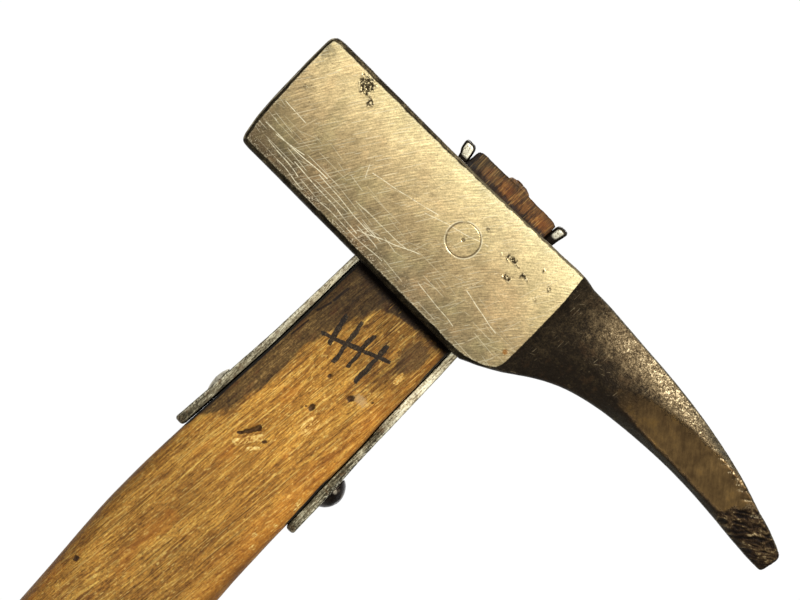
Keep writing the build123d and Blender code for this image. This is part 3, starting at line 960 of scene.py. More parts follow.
def ground_colour(mat, tex):
    """Bright ground steel, darker below (painted light, some grime), with arcs, warm patches and
    tarnish.
    """
    x, z, cloud = mat.x, mat.z, tex.cloud
    # painted light from above, with some grime low down: dark at the bottom to bright at the top
    height = z + tex.drift.swing(9.0) + x * 0.05
    base = height.stretch(-2.0, 38.0).ramp(
        (0.0, 104, 88, 64), (0.12, 128, 112, 82), (0.28, 150, 131, 94), (0.45, 176, 153, 110),
        (0.62, 206, 182, 132), (0.80, 226, 204, 150), (1.0, 240, 226, 172))
    warm = mat.noise(0.10, detail=4, rough=0.6, shift=(7.0, 0.0, 3.0))
    base = base.blend(warm.step(0.52, 0.68), base.blend(0.16, (224, 176, 122)))
    base = base.blend(warm.step(0.50, 0.34), base.blend(0.24, (166, 158, 110)))
    # light and dark from each size of texture in turn
    light = 0.82 + tex.fine.stretch(0.30, 0.70) * 0.34
    light = light * (0.78 + tex.finer.stretch(0.30, 0.70) * 0.44)
    arcs = (tex.radius * 8.4 + tex.drift * 16.0).math("SINE")
    light = light * (1.0 + arcs * (0.02 + tex.broad.stretch() * 0.12))
    light = light * (0.93 + tex.broad.stretch() * 0.14)
    light = light * (0.86 + tex.patch.stretch() * 0.28)
    light = light * (0.80 + tex.grit.stretch(0.30, 0.70) * 0.40)
    base = base.gain(light * 0.96)
    # clouded grey tarnish, mostly low down and near the striking end
    tarnish = ((z + cloud.swing(10.0)).step(15.0, 3.0)
               | (x + cloud.swing(14.0)).step(-50.0, -57.5)) * cloud.step(0.44, 0.66)
    base = base.blend(tarnish * x.stretch(-44.0, -26.0, 0.74, 0.46), (88, 80, 60))
    # uneven wear along the lower edge
    wear = (x + cloud.swing(5.0)).curve(LOWER_WEAR, domain=(-60.0, 28.0), span=(0.7, 1.3))
    base = base.gain(z.step(13.0, 6.0).between(1.0, wear))
    # a duller cloud round the pits
    dull = oval(x - 9.0, 0.075, z - 23.0, 0.10)
    return base.gain(1.0 - (dull + cloud.swing(0.8)).step(1.2, 0.2) * 0.12)


def cheek_scratches(mat, tex, base):
    """Random bright scratches, the placed marks, dark scores and specks."""
    x, z = mat.x, mat.z
    low = (z + tex.drift.swing(14.0)).step(18.0, 7.0) * x.stretch(-24.0, 4.0, 1.0, 0.50)
    # columns: degrees, gap, length, width, share, tilt, seed; then the strength
    level = mat.scratches(-1.5, 1.1, 13.0, 0.10, 0.50, 0.6, 1.0) * (0.03 + low * 0.80)
    falling = mat.scratches(-9.0, 1.5, 9.0, 0.09, 0.36, 0.9, 7.0) * (0.10 + low * 0.75)
    rising = mat.scratches(16.0, 2.2, 8.0, 0.08, 0.26, 1.1, 13.0) * (0.20 + low * 0.45)
    steep = mat.scratches(57.0, 0.8, 7.0, 0.10, 0.5, 0.4, 21.0) * 0.42
    steeper = mat.scratches(70.0, 1.5, 6.0, 0.09, 0.25, 0.8, 27.0) * 0.35
    bright = (level | falling) | (rising | (steep | steeper))
    place = mat.warped(0.09, amount=1.6, detail=1.0)
    marks = reduce(or_, [mat.stroke(place, *ends, half_width=0.092, soft=0.6) * strength
                         for *ends, strength in MARKS])
    broken = mat.noise(0.8, detail=2, rough=0.5).step(0.36, 0.50)
    bright = bright | marks * (tex.front * (0.35 + broken * 0.65))
    base = base.blend(bright * 0.80, mat.mix(0.45, (255, 244, 206), base))
    base = base.blend(bright, base.blend(0.62, (255, 246, 212)))
    scores = (mat.scratches(52.0, 1.3, 6.0, 0.12, 0.35, 0.6, 33.0) * 0.5
              | mat.scratches(-4.0, 3.4, 12.0, 0.10, 0.28, 0.8, 39.0) * 0.45)
    base = base.blend(scores, base.gain(0.45))
    cells = mat.cell_distance(0.85)
    specks = cells.step(0.20, 0.10) * mat.noise(0.5, detail=2, rough=0.5).step(0.56, 0.66)
    return base.blend(specks * 0.6, (78, 60, 40))


def punch_mark(mat, tex, base):
    """A plain ring and dot; returns the colour and how deep the mark is."""
    dx, dz = mat.x - PUNCH_X, mat.z - PUNCH_Z
    radius = (dx * dx + dz * dz).root()
    worn = mat.noise(0.6, detail=2, rough=0.5).step(0.34, 0.52)
    ring = abs(radius - PUNCH_RADIUS).step(0.26, 0.08) * (tex.front * (0.35 + worn * 0.65))
    ring = ring | radius.step(0.62, 0.40) * tex.front
    shine = abs(radius - 4.62).step(0.26, 0.08) * (tex.front * worn)
    base = base.blend(ring * 0.72, (84, 68, 46))
    return base.blend(shine * 0.35, (255, 246, 210)), ring


def cheek_knocks(mat, tex, base):
    """Rust freckle, a painted highlight along the arris and the peppered lower edge."""
    x, z, cloud, grit = mat.x, mat.z, tex.cloud, tex.grit
    freckle = ((x - 25.2) ** 2.0 + (z - 9.3) ** 2.0).root()
    base = base.blend(freckle.step(0.9, 0.4) * (tex.front * 0.7), (150, 96, 34))
    # painted highlight along the cheek's upper and lower edges, broken up by grit
    arris = tex.rim.step(2.1, 1.3) * grit.step(0.42, 0.58)
    base = base.blend(arris * 0.35, (246, 236, 196))
    pepper = (z + tex.patch.swing(9.0)).step(6.5, 1.5) * x.step(14.0, -22.0)
    corner = (z + (x + 58.0) * 0.8 + cloud.swing(16.0)).step(15.0, 3.0) * 0.9
    pepper = (pepper | corner) * cloud.step(0.36, 0.62)
    base = base.blend((pepper | corner) * 0.42, (84, 66, 48))
    base = base.blend(pepper * (grit.step(0.46, 0.38) * 0.55), (58, 44, 30))
    return base.blend(pepper * (grit.step(0.62, 0.70) * 0.70), (250, 234, 200))


def dark_oxide(mat, tex):
    """Edges, top and underside dark, painted shade below and painted light on upward faces; the
    striking face bright with dark marks.
    """
    x, z = mat.x, mat.z
    oxide = (mat.noise(0.35, detail=4, rough=0.65) * 0.55
             + mat.noise(1.9, detail=3, rough=0.65) * 0.45)
    dark = oxide.ramp((0.30, 24, 20, 14), (0.46, 46, 40, 29), (0.56, 78, 69, 50),
                      (0.70, 140, 126, 96))
    # painted shade darkens the lower arris, which faces down; the upper arris lightens further
    # along, partly worn and partly painted light on upward faces
    dark = dark.blend(z.step(8.0, 2.0), dark.gain(0.55)).gain(0.66)
    rubbed_and_lit = (x + tex.cloud.swing(24.0)).step(-30.0, -6.0) * 0.40
    dark = dark.blend(mat.attr("nz").step(0.2, 0.7) * rubbed_and_lit, (132, 120, 92))
    face = (mat.attr("nx") * -1.0).step(0.6, 0.9)
    return dark.blend(face, oxide.ramp(
        (0.32, 74, 66, 52), (0.46, 134, 122, 98), (0.60, 186, 174, 142), (0.76, 226, 216, 186)))


def ground_steel():
    mat = Shader("ground_steel")
    tex = cheek_textures(mat)
    fleck, grit, pit = tex.fleck, tex.grit, tex.pit
    base = cheek_scratches(mat, tex, ground_colour(mat, tex))
    # pits: dark and bright flecks mixed
    base = base.blend(pit * (fleck.step(0.58, 0.51) * 0.94), (34, 25, 16))
    base = base.blend(pit * (fleck.step(0.56, 0.62) * 0.45), (246, 232, 190))
    base, punched = punch_mark(mat, tex, base)
    base = cheek_knocks(mat, tex, base)
    # the dark oxide edge is broad below, where painted shade widens it, broad above at the striking
    # end and narrow over the eye
    cheek = (mat.attr("cheek") + grit.swing(0.30)).step(0.40, 0.62)
    limit = mat.z.step(12.0, 22.0).between(1.45, mat.x.stretch(-34.0, 2.0, 1.25, 0.62))
    cheek = cheek * (tex.rim - limit + tex.cloud.swing(0.9)).step(-0.16, 0.16)
    colour = cheek.pick(dark_oxide(mat, tex), base)
    rough = cheek.between(0.40 + grit * 0.25, 0.26 + (1.0 - tex.fine.stretch()) * 0.14)
    rough = (pit * fleck.step(0.55, 0.45)).between(rough, 0.75)
    height = tex.fine * 0.05 + grit * 0.02 - punched * 0.10 + pit * (fleck * 0.25)
    height = cheek.between(mat.noise(1.4, detail=5, rough=0.65) * 0.14, height)
    return mat.finish(colour, rough, metal=1.0, height=height, bump=0.8)


# ============================================================ forged pick
def forge_scale(mat, big, mid, fine):
    """Black scale below, with a light stripe above, partly scoured and partly painted light from
    above.
    """
    x = mat.x
    fine2 = mat.noise(2.6, detail=1, rough=0.6, shift=(5.0, 1.0, 2.0))
    height = mat.attr("hp") + mid.swing(0.30)
    loose_x = x + mid.swing(10.0)
    # how far the light stripe, partly scoured and partly painted light from above, has taken over
    scoured_and_lit_band = height.step(0.42, 0.86) * (loose_x.step(27.0, 46.0) * 0.75
                                      + loose_x.step(46.0, 60.0) * 0.25)
    scoured_and_lit_band = scoured_and_lit_band * (1.0 - loose_x.step(66.0, 84.0) * 0.28)
    grain = fine.stretch(0.38, 0.62) * 0.55 + fine2.stretch(0.38, 0.62) * 0.45
    value = scoured_and_lit_band * 0.58 + grain.swing(0.24 + scoured_and_lit_band * 0.74)
    value = value + (big.swing(0.35) + (0.05 + mid.swing(0.50)))
    value = value + loose_x.step(38.0, 44.0) * loose_x.step(56.0, 48.0) * 0.05
    # painted shade low on the pick just past the block, where the side turns away
    value = value - mat.attr("hp").step(0.55, 0.15) * x.step(28.0, 40.0) * 0.11
    colour = value.ramp(
        (0.0, 29, 22, 13), (0.12, 46, 37, 23), (0.28, 68, 56, 38), (0.45, 90, 76, 53),
        (0.62, 112, 96, 70), (0.80, 150, 132, 100), (1.0, 226, 208, 168))
    # painted shade: a little darker next to the ground block
    near = (mat.attr("d_end") + mid.swing(6.0)).step(7.0, 0.5)
    colour = colour.blend(near * 0.08, (30, 24, 15))
    # fine light scuffs
    scuffs = (mat.scratches(84.0, 0.9, 2.8, 0.085, 0.40, 0.9, 3.0)
              | mat.scratches(30.0, 1.0, 2.6, 0.085, 0.34, 1.2, 9.0))
    scuffs = scuffs * mat.noise(0.16, detail=3, rough=0.6).step(0.50, 0.62)
    colour = colour.blend(scuffs * 0.36, (182, 164, 128))
    red = mat.noise(0.3, detail=4, rough=0.65, shift=(4.0, 6.0, 1.0))
    colour = colour.blend(red.step(0.54, 0.70) * 0.22, colour.blend(0.5, (104, 74, 46)))
    return colour, height


def facet_colour(x, height, in_facet, lines, cloud):
    """Brown ground facet, darker along its upper boundary."""
    value = (cloud * 0.50 + lines * 0.26) + (
        0.06 + x.stretch(50.0, 84.0) * x.stretch(84.0, 94.0, 0.12, 0.06))
    value = value - in_facet.step(2.6, 0.2) * height.step(0.4, 0.6) * 0.04
    colour = value.ramp(
        (0.34, 48, 34, 16), (0.45, 68, 51, 27), (0.56, 88, 68, 38), (0.68, 112, 88, 52),
        (0.80, 136, 110, 68))
    return colour.blend(cloud.step(0.52, 0.7) * 0.4, (98, 72, 28))


def forged_steel():
    mat = Shader("forged_steel")
    x, z = mat.x, mat.z
    big = mat.noise(0.11, detail=4, rough=0.6)
    mid = mat.noise(0.42, detail=5, rough=0.65)
    fine = mat.noise(1.5, detail=3, rough=0.72, distort=0.6)
    colour, height_share = forge_scale(mat, big, mid, fine)
    # ground facet
    lines = mat.vector_noise((x + z * 0.8) * 1.3, mat.y * 0.4, (z - x * 0.8) * 0.22,
                             detail=3, rough=0.62)
    cloud = mat.noise(0.26, detail=4, rough=0.62, shift=(1.0, 8.0, 4.0))
    ragged = mid.swing(2.4) + fine.swing(4.5) * mat.attr("hp").step(0.42, 0.52)
    in_facet = mat.attr("d_facet") + ragged
    facet = in_facet.step(-0.7, 0.9) * (x + mid.swing(14.0)).step(47.0, 64.0)
    tip = (mat.attr("d_tip") + mid.swing(6.0)).step(-0.9, 0.9)
    facet = facet * (1.0 - tip) * mat.attr("ny").step(0.55, 0.8)
    colour = colour.blend(facet, facet_colour(x, height_share, in_facet, lines, cloud))
    # a dark line along the facet's lower edge
    lower = height_share.step(0.55, 0.35) * (x.step(50.0, 58.0) * (1.0 - tip))
    dark_line = abs(in_facet + 0.25).step(0.9, 0.2) * lower
    colour = colour.blend(dark_line * 0.55, (26, 18, 10))
    # battered tip
    hollows = mat.attr("cav").stretch(-0.30, 0.14) + fine.swing(0.8)
    tip_colour = hollows.ramp((0.10, 20, 12, 6), (0.40, 38, 26, 13), (0.62, 58, 42, 24),
                              (0.80, 88, 70, 44), (1.0, 170, 150, 110))
    colour = colour.blend(tip, tip_colour.gain(0.64))
    # bright burrs at the chips
    chip = mat.attr("chip")
    bare = chip.step(0.15, 0.5) * fine.step(0.48, 0.62) * x.stretch(81.0, 90.0, 1.0, 0.42)
    colour = colour.blend(bare * 0.7, (232, 210, 166))
    colour = colour.blend(chip.step(0.5, 0.9) * (fine.step(0.52, 0.40) * 0.7), (40, 30, 18))
    # the faces above and below are dull grey; painted shade darkens those facing down nearly to
    # black
    facing = mat.attr("nz")
    arris = (fine * 0.6 + mid * 0.4).ramp((0.35, 34, 30, 22), (0.55, 70, 64, 48),
                                          (0.72, 124, 114, 88))
    arris = arris.blend(facing.step(0.0, -0.3), arris.gain(0.4))
    colour = colour.blend(abs(facing).step(0.45, 0.80) * 0.9, arris)
    rough = facet.between(0.30 + fine * 0.42, 0.36 + lines * 0.18)
    rough = tip.between(rough, 0.22 + fine * 0.3)
    height = facet.between(fine * 0.34 + mid * 0.12, lines * 0.03 + cloud * 0.03)
    return mat.finish(colour, rough, metal=0.88, height=height)


# ============================================================ shaft wood
# The stain's front limit beside the rear strap: (Z, X)
STAIN_EDGE = [
    (-60.0, -22.0), (-54.5, -16.6), (-51.0, -13.6), (-45.0, -11.7), (-38.0, -10.2),
    (-28.0, -10.2), (-20.0, -9.0), (-14.0, -6.6), (-9.0, -5.4), (-5.0, -3.0), (-2.0, 6.0),
    (0.0, 10.0)]
# Black crack by the rear strap: (from X, from Z, to X, to Z, half width)
CRACK = [(-12.9, -6.5, -13.4, -12.0, 0.34), (-13.4, -12.0, -14.6, -16.5, 0.30),
         (-14.3, -19.0, -14.9, -25.0, 0.22)]
# Plain tally strokes in ink, in the same columns
TALLY = [(-8.6, -11.2, -6.6, -20.4, 0.60), (-4.6, -9.8, -2.8, -22.6, 0.56),
         (-0.4, -10.2, 0.8, -21.2, 0.55), (4.0, -9.6, 4.6, -22.4, 0.62),
         (-10.2, -19.4, 7.4, -12.6, 0.55)]


def wood_textures(mat):
    """The fields that several layers of the wood share."""
    drift = mat.noise((0.05, 0.05, 0.010), detail=3, rough=0.5)
    # the grain runs a few degrees off the shaft's own line
    grain_x = mat.x - mat.z * 0.10 + drift.swing(10.0)
    return SimpleNamespace(
        fibre=mat.fibres(1.9, 0.075, detail=3, rough=0.66, x=grain_x),
        thread=mat.fibres(3.4, 0.26, detail=1, rough=0.6, x=grain_x),
        bands=mat.fibres(0.40, 0.026, detail=3, rough=0.55, x=grain_x),
        fleck=mat.fibres(2.2, 0.55, detail=2, rough=0.6, x=grain_x),
        wide=mat.noise((0.10, 0.10, 0.022), detail=3, rough=0.5),
        speck=mat.noise((2.2, 2.2, 1.7), detail=2, rough=0.65),
        blot=mat.noise((0.34, 0.34, 0.16), detail=4, rough=0.62),
        ragged=mat.fibres(0.55, 0.12, detail=5, rough=0.68),
        streak=mat.fibres(1.1, 0.07, detail=4, rough=0.65))


def wood_grain(mat, tex):
    """Oiled wood with pores, rays, checks and sides darkened by painted shade."""
    x, z, fleck, blot = mat.x, mat.z, tex.fleck, tex.blot
    value = ((tex.fibre.stretch(0.32, 0.68) * 0.40 + tex.bands.stretch() * 0.26)
             + (tex.wide.stretch() * 0.14 + tex.thread.stretch() * 0.20))
    colour = value.ramp((0.16, 112, 70, 25), (0.34, 146, 97, 37), (0.50, 172, 120, 50),
                        (0.66, 198, 146, 66), (0.86, 232, 188, 102))
    # short dark pores and light rays
    colour = colour.blend(fleck.step(0.41, 0.31) * 0.65, (100, 60, 22))
    colour = colour.blend(fleck.step(0.58, 0.70) * 0.60, (238, 198, 118))
    colour = colour.gain(0.68 + tex.speck.stretch(0.32, 0.68) * 0.58)
    colour = colour.gain(0.86 + blot.stretch() * 0.26)
    # long fine drying checks, then light lines, along the grain
    checks = (mat.scratches(84.3, 1.5, 22.0, 0.15, 0.42, 0.2, 3.0)
              | mat.scratches(84.3, 0.9, 9.0, 0.12, 0.34, 0.25, 9.0))
    colour = colour.blend(checks * 0.80, (74, 40, 12))
    lights = (mat.scratches(84.0, 1.2, 14.0, 0.15, 0.42, 0.2, 15.0)
              | mat.scratches(85.0, 0.9, 5.0, 0.13, 0.36, 0.3, 19.0))
    colour = colour.blend(lights * 0.48, (246, 208, 128))
    # oiled orange towards the front edge, and in clouds
    clouds = mat.noise((0.16, 0.16, 0.09), detail=3, rough=0.6, shift=(3.0, 3.0, 3.0))
    orange = (x + blot.swing(8.0)).step(9.0, 16.5) | clouds.step(0.56, 0.70)
    colour = colour.blend(orange * 0.42, colour.blend(0.65, (204, 122, 34)))
    shade = (x + blot.swing(6.0)).step(8.0, 13.0) * z.step(-24.0, -16.0)
    colour = colour.gain(1.0 - shade * 0.06)
    # painted shade: the rounded sides, turned away from the light, go dark, reaching further round
    # low on the front edge
    facing = abs(mat.attr("ny"))
    lower_front_shade = z.step(-58.0, -74.0) * x.stretch(-6.0, 10.0, 0.25, 1.0)
    side = facing.step(0.80, 0.30) | facing.step(0.97, 0.62) * lower_front_shade
    side_shade_noise = mat.noise((0.6, 0.6, 0.14), detail=4, rough=0.6)
    return colour.blend(side * (0.30 + side_shade_noise.stretch() * 0.5), (92, 58, 24))


def rear_stain(mat, tex):
    """The dark stain beside the rear strap: where it is, and its colour."""
    x, z, ragged = mat.x, mat.z, tex.ragged
    edge = z.curve(STAIN_EDGE, domain=(-60.0, 0.0), span=(-24.0, 12.0))
    stain = ((edge - (x + ragged.swing(6.5))).step(-0.9, 1.1)
             * (z + ragged.swing(14.0)).step(-60.0, -53.0))
    value = ((tex.fibre.stretch() * 0.35 + tex.speck.stretch(0.32, 0.68) * 0.40)
             + tex.blot.stretch() * 0.25)
    colour = value.ramp((0.18, 44, 29, 14), (0.42, 76, 56, 31), (0.62, 100, 76, 45),
                        (0.86, 148, 118, 76))
    red = mat.noise((0.5, 0.5, 0.2), detail=3, rough=0.6, shift=(8.0, 2.0, 5.0))
    return stain, colour.blend(red.step(0.52, 0.68) * 0.5, (92, 50, 26))


def grime_and_shade_below_head(mat, tex, colour, stain_colour):
    """Grime and streaks under the head, a painted shadow just below it, and grime with painted
    shade packed against head and straps.
    """
    x, z, streak, blot = mat.x, mat.z, tex.streak, tex.blot
    top = (z + streak.swing(40.0)).step(-19.0, -4.0)
    colour = colour.blend(top * 0.70, colour.gain(0.38))
    # handled and smoked a little further down
    colour = colour.gain((z + streak.swing(16.0)).stretch(-38.0, -17.0, 1.0, 0.80))
    dark_lines = (mat.scratches(86.0, 0.75, 8.0, 0.15, 0.75, 0.3, 51.0)
                  * (z.step(-17.0, -11.0) * x.step(11.0, 8.0)))
    colour = colour.blend(dark_lines * 0.8, (46, 28, 12))
    light_lines = (mat.scratches(87.0, 0.8, 6.0, 0.13, 0.6, 0.3, 61.0)
                   * (z.step(-17.0, -12.0) * x.step(-4.5, -2.0)))
    colour = colour.blend(light_lines * 0.7, (224, 172, 92))
    # a dark patch near the front strap
    dist = oval(x - 10.6, 0.36, z + 7.8, 0.19)
    colour = colour.blend((dist + blot.swing(1.4)).step(1.15, 0.80) * 0.80,
                          mat.mix(0.4, (70, 46, 24), stain_colour))

    def spot(centre_x, centre_z, radius_x, radius_z):
        dist = oval(x - centre_x, 1.0 / radius_x, z - centre_z, 1.0 / radius_z)
        return (dist + blot.swing(1.2)).step(1.2, 0.3) * mat.y.step(0.0, -2.0)

    colour = colour.gain(1.0 - spot(9.6, -15.5, 6.0, 5.2) * 0.34)
    colour = colour.gain(1.0 + spot(12.8, -25.5, 3.4, 4.5) * 0.20)
    # painted shadow under the head, with some grime: a black band right below it
    colour = colour.blend((z + streak.swing(2.5)).step(-3.3, -0.9), (20, 11, 6))
    # grime and painted shade where the wood meets the straps
    crevice_grime_shade = (mat.attr("crev_grime_shade") + tex.ragged.swing(0.7)).step(0.25, 0.75)
    return colour.blend(crevice_grime_shade, (16, 10, 6))


def dents_and_tears(mat, tex, colour):
    """Dark hollows, pale torn wood and a pinkish smear."""
    colour = colour.blend(mat.attr("cav").step(-0.14, -0.34) * 0.85, (46, 24, 10))
    raw = (mat.attr("raw") + tex.thread.stretch(0.3, 0.7).swing(0.55)).step(0.35, 0.75)
    torn = tex.fibre.stretch(0.35, 0.65) * 0.45 + tex.speck.stretch(0.32, 0.68) * 0.55
    torn = torn.ramp((0.12, 112, 66, 24), (0.34, 184, 130, 60), (0.58, 228, 184, 106),
                     (0.85, 255, 232, 168))
    colour = colour.blend(raw * 0.85, torn)
    smear = oval(mat.x - 8.6, 0.42, mat.z + 24.2, 0.7) + tex.speck.swing(1.2)
    return colour.blend(smear.step(1.1, 0.5) * 0.45, (198, 166, 130))


def shaft_wood():
    mat = Shader("shaft_wood")
    x, z = mat.x, mat.z
    tex = wood_textures(mat)
    stain, stain_colour = rear_stain(mat, tex)
    colour = wood_grain(mat, tex).blend(stain * 0.92, stain_colour.gain(0.86))
    first, second, third = (mat.stroke((x, z), *line, soft=0.5) for line in CRACK)
    colour = colour.blend((first | (second | third)) * 0.9, (22, 8, 5))
    colour = grime_and_shade_below_head(mat, tex, colour, stain_colour)
    colour = dents_and_tears(mat, tex, colour)
    # ink bleeds along the grain, on the -Y face only
    place = mat.warped(0.35, amount=1.3, detail=2.0)
    ink = reduce(or_, [mat.stroke(place, *line, soft=0.35) for line in TALLY])
    ink = (ink + tex.thread.stretch(0.3, 0.7).swing(0.45)).step(0.30, 0.62)
    ink = ink * mat.y.step(0.5, -0.5)
    ink_colour = tex.speck.step(0.5, 0.7).pick((20, 14, 10), (62, 52, 42))
    colour = colour.blend(ink * 0.95, ink_colour)
    # grip end is darker with use
    grip = z.step(-120.0, -175.0)
    colour = colour.blend(grip * 0.35, colour.blend(0.6, (110, 70, 30)))
    rough = stain.between(0.40 + tex.fibre * 0.30, 0.66)
    rough = ink.between(rough, 0.28)
    height = tex.fibre * 0.20 + tex.thread * 0.10
    height = height + tex.fleck.step(0.45, 0.30) * -0.10 + tex.speck * 0.09
    # a slight overall tint (linear), and a darker lower shaft
    tint = mat.node("Mix", 1.0, *[None] * 5, colour, (0.86, 0.865, 0.70),
                    data_type="RGBA", blend_type="MULTIPLY")
    fade = (z + x * 0.5).step(-38.0, -82.0) * 0.31
    colour = Field(mat, tint.outputs[2]).gain(1.0 - fade)
    return mat.finish(colour, rough, metal=0.0, height=height, specular=0.2)


def end_grain(name, brightness, tint):
    """Split, weathered wood above the head; tint is how much of it turns orange."""
    mat = Shader(name)
    x, z = mat.x, mat.z
    cracks = mat.fibres(1.5, 0.10, detail=3, rough=0.65)
    fine = mat.fibres(2.6, 0.8, detail=2, rough=0.65)
    blot = mat.noise((0.20, 0.20, 0.16), detail=3, rough=0.5)
    value = ((cracks.stretch(0.32, 0.68) * 0.55 + fine.stretch(0.32, 0.68) * 0.30)
             + blot.stretch() * 0.15)
    colour = value.ramp((0.12, 30, 17, 7), (0.32, 72, 44, 18), (0.50, 116, 76, 34),
                        (0.68, 160, 110, 52), (0.88, 208, 160, 88))
    # greyed by weather towards the rear, warmer in the middle
    grey = (x + blot.swing(8.0)).step(-3.0, -9.5)
    colour = colour.blend(grey * 0.62, cracks.stretch().pick((40, 32, 18), (128, 110, 72)))
    colour = colour.blend(blot.step(0.45, 0.65) * tint, (150, 84, 28))
    # the cut end itself is grey and fuzzy; painted shade darkens it where it meets the head, and it
    # is dark along its rear edge
    rim = (z + fine.swing(1.2)).step(37.9, 39.9)
    colour = colour.blend(rim * 0.55, (78, 62, 36))
    colour = colour.blend(mat.attr("nz").step(0.4, 0.8),
                          fine.stretch().pick((66, 52, 32), (136, 114, 76)))
    colour = colour.blend((z + cracks.swing(2.0)).step(37.0, 35.9) * 0.85, (28, 16, 8))
    colour = colour.blend(x.step(-12.4, -13.4) * 0.85, (24, 15, 8))
    splits = (mat.scratches(88.0, 0.62, 5.0, 0.13, 0.75, 0.3, 3.0)
              | mat.scratches(92.0, 0.8, 4.0, 0.11, 0.5, 0.4, 9.0))
    colour = colour.blend(splits * 0.80, (26, 13, 5))
    lights = mat.scratches(89.0, 0.7, 4.0, 0.12, 0.5, 0.4, 15.0)
    colour = colour.blend(lights * 0.5, (226, 182, 108))
    colour = colour.gain(x.stretch(-10.0, 3.0, 0.76, 1.14) * brightness)
    return mat.finish(colour, 0.55 + fine * 0.25, metal=0.0,
                      height=cracks * 0.4 + fine * 0.15, specular=0.3)


# ============================================================ straps, rivets and foot
def strap_ears(mat, mid, fine):
    """The bent ends above the head: bright, with a dark rim and a dark root, painted shade with
    some grime.
    """
    fore = mat.x.step(-1.0, 1.0)
    rim = mat.attr("round") + fine.swing(0.4) - fore.between(0.20, -0.07)
    colour = fine.step(0.34, 0.54).pick((128, 117, 90), (242, 236, 210))
    colour = colour.blend(rim.step(0.0, 0.30), (34, 28, 18))
    # painted shade, with some grime, at the root next to the head
    root = mat.z + fore.between(1.3, -0.2) + mid.swing(1.2)
    return colour.blend(root.step(38.0, 37.1), (26, 20, 13))


def strap_steel():
    mat = Shader("strap_steel")
    z = mat.z
    big = mat.noise(0.14, detail=3, rough=0.55)
    mid = mat.noise((2.1, 1.1, 0.17), detail=3, rough=0.65)
    fine = mat.noise((3.0, 2.2, 1.5), detail=2, rough=0.7)
    # lighter towards the head, later on the front strap than on the rear one: partly worn bright
    # and partly a painted highlight, kept mostly off the broad faces
    loose_z = z + big.swing(9.0)
    front = mat.x.step(-1.0, 1.0)
    light = front.between(loose_z.stretch(-55.0, -30.0, 0.0, 0.20)
                          + loose_z.stretch(-30.0, -8.0, 0.0, 0.50),
                          loose_z.step(-28.0, -16.0))
    light = light * (1.0 - mat.attr("flat") * 0.75)
    value = mid.stretch(0.30, 0.70) * 0.62 + fine.stretch(0.30, 0.70) * 0.38
    flat = mat.attr("flat")
    value = flat.between(value, 0.24 + (value * 0.16 + big.stretch() * 0.20))
    dull = value.ramp((0.14, 28, 22, 13), (0.34, 64, 57, 40), (0.50, 98, 90, 69),
                      (0.66, 142, 132, 104), (0.86, 222, 214, 180))
    bright = value.ramp((0.12, 84, 72, 52), (0.30, 172, 158, 124), (0.46, 226, 212, 174),
                        (0.62, 248, 240, 206), (0.80, 255, 254, 232))
    dull = dull.gain(front.between(z.step(-56.0, -40.0, 0.78, 1.0), 0.82))
    colour = light.pick(dull, bright)
    rust = mat.noise(0.5, detail=4, rough=0.65, shift=(9.0, 4.0, 1.0)).step(0.54, 0.68) * 0.55
    colour = colour.blend(rust, (96, 66, 36))
    # dark where it meets the wood, from grime and painted shadow; bright where the outer edge is
    # knocked
    gap = (mat.attr("gap") + fine.swing(0.8)).step(0.30, 0.70)
    outer = mat.attr("outer") * fine.step(0.44, 0.60)
    colour = colour.blend(outer * 0.55, (250, 244, 216))
    colour = colour.blend(gap, (20, 15, 9))
    # lower ends are black with grease
    end = (z + mid.swing(5.0)).step(-54.5, -58.6)
    colour = colour.blend(end * 0.68, fine.stretch().pick((24, 20, 13), (98, 88, 66)))
    colour = colour.blend(z.step(34.2, 35.0), strap_ears(mat, mid, fine))
    height = (mid * 0.16 + fine * 0.14) * (1.0 - flat * 0.5)
    overall = 1.0                          # brightness of the whole strap
    return mat.finish(colour.gain(overall), flat.between(0.26, 0.38) + fine * 0.4,
                      metal=0.9, height=height)


def dark_iron(name, stops, relief=1.0, metal=0.8, smoothest=0.34, painted_highlights=()):
    """Iron of the rivets; the bright patches are painted highlights, made to look worn: (X, Y, Z,
    radius, colour, amount).
    """
    mat = Shader(name)
    mid = mat.noise(0.7, detail=4, rough=0.6)
    fine = mat.noise(2.4, detail=5, rough=0.7)
    colour = (mid * 0.5 + fine * 0.5).ramp(*stops)
    colour = colour.blend(mat.attr("cav").step(0.02, 0.10) * 0.5, (150, 134, 108))
    # painted highlights, made to look like worn bright patches
    for spot_x, spot_y, spot_z, radius, rubbed_and_lit, amount in painted_highlights:
        dist = ((mat.x - spot_x) ** 2.0 + (mat.y - spot_y) ** 2.0
                + (mat.z - spot_z) ** 2.0).root()
        dist = dist + fine.swing(0.9 * radius)
        colour = colour.blend(dist.step(radius, 0.35 * radius) * amount, rubbed_and_lit)
    height = mid * (0.10 * relief) + fine * (0.05 * relief)
    return mat.finish(colour, smoothest + fine * 0.28, metal=metal, height=height)


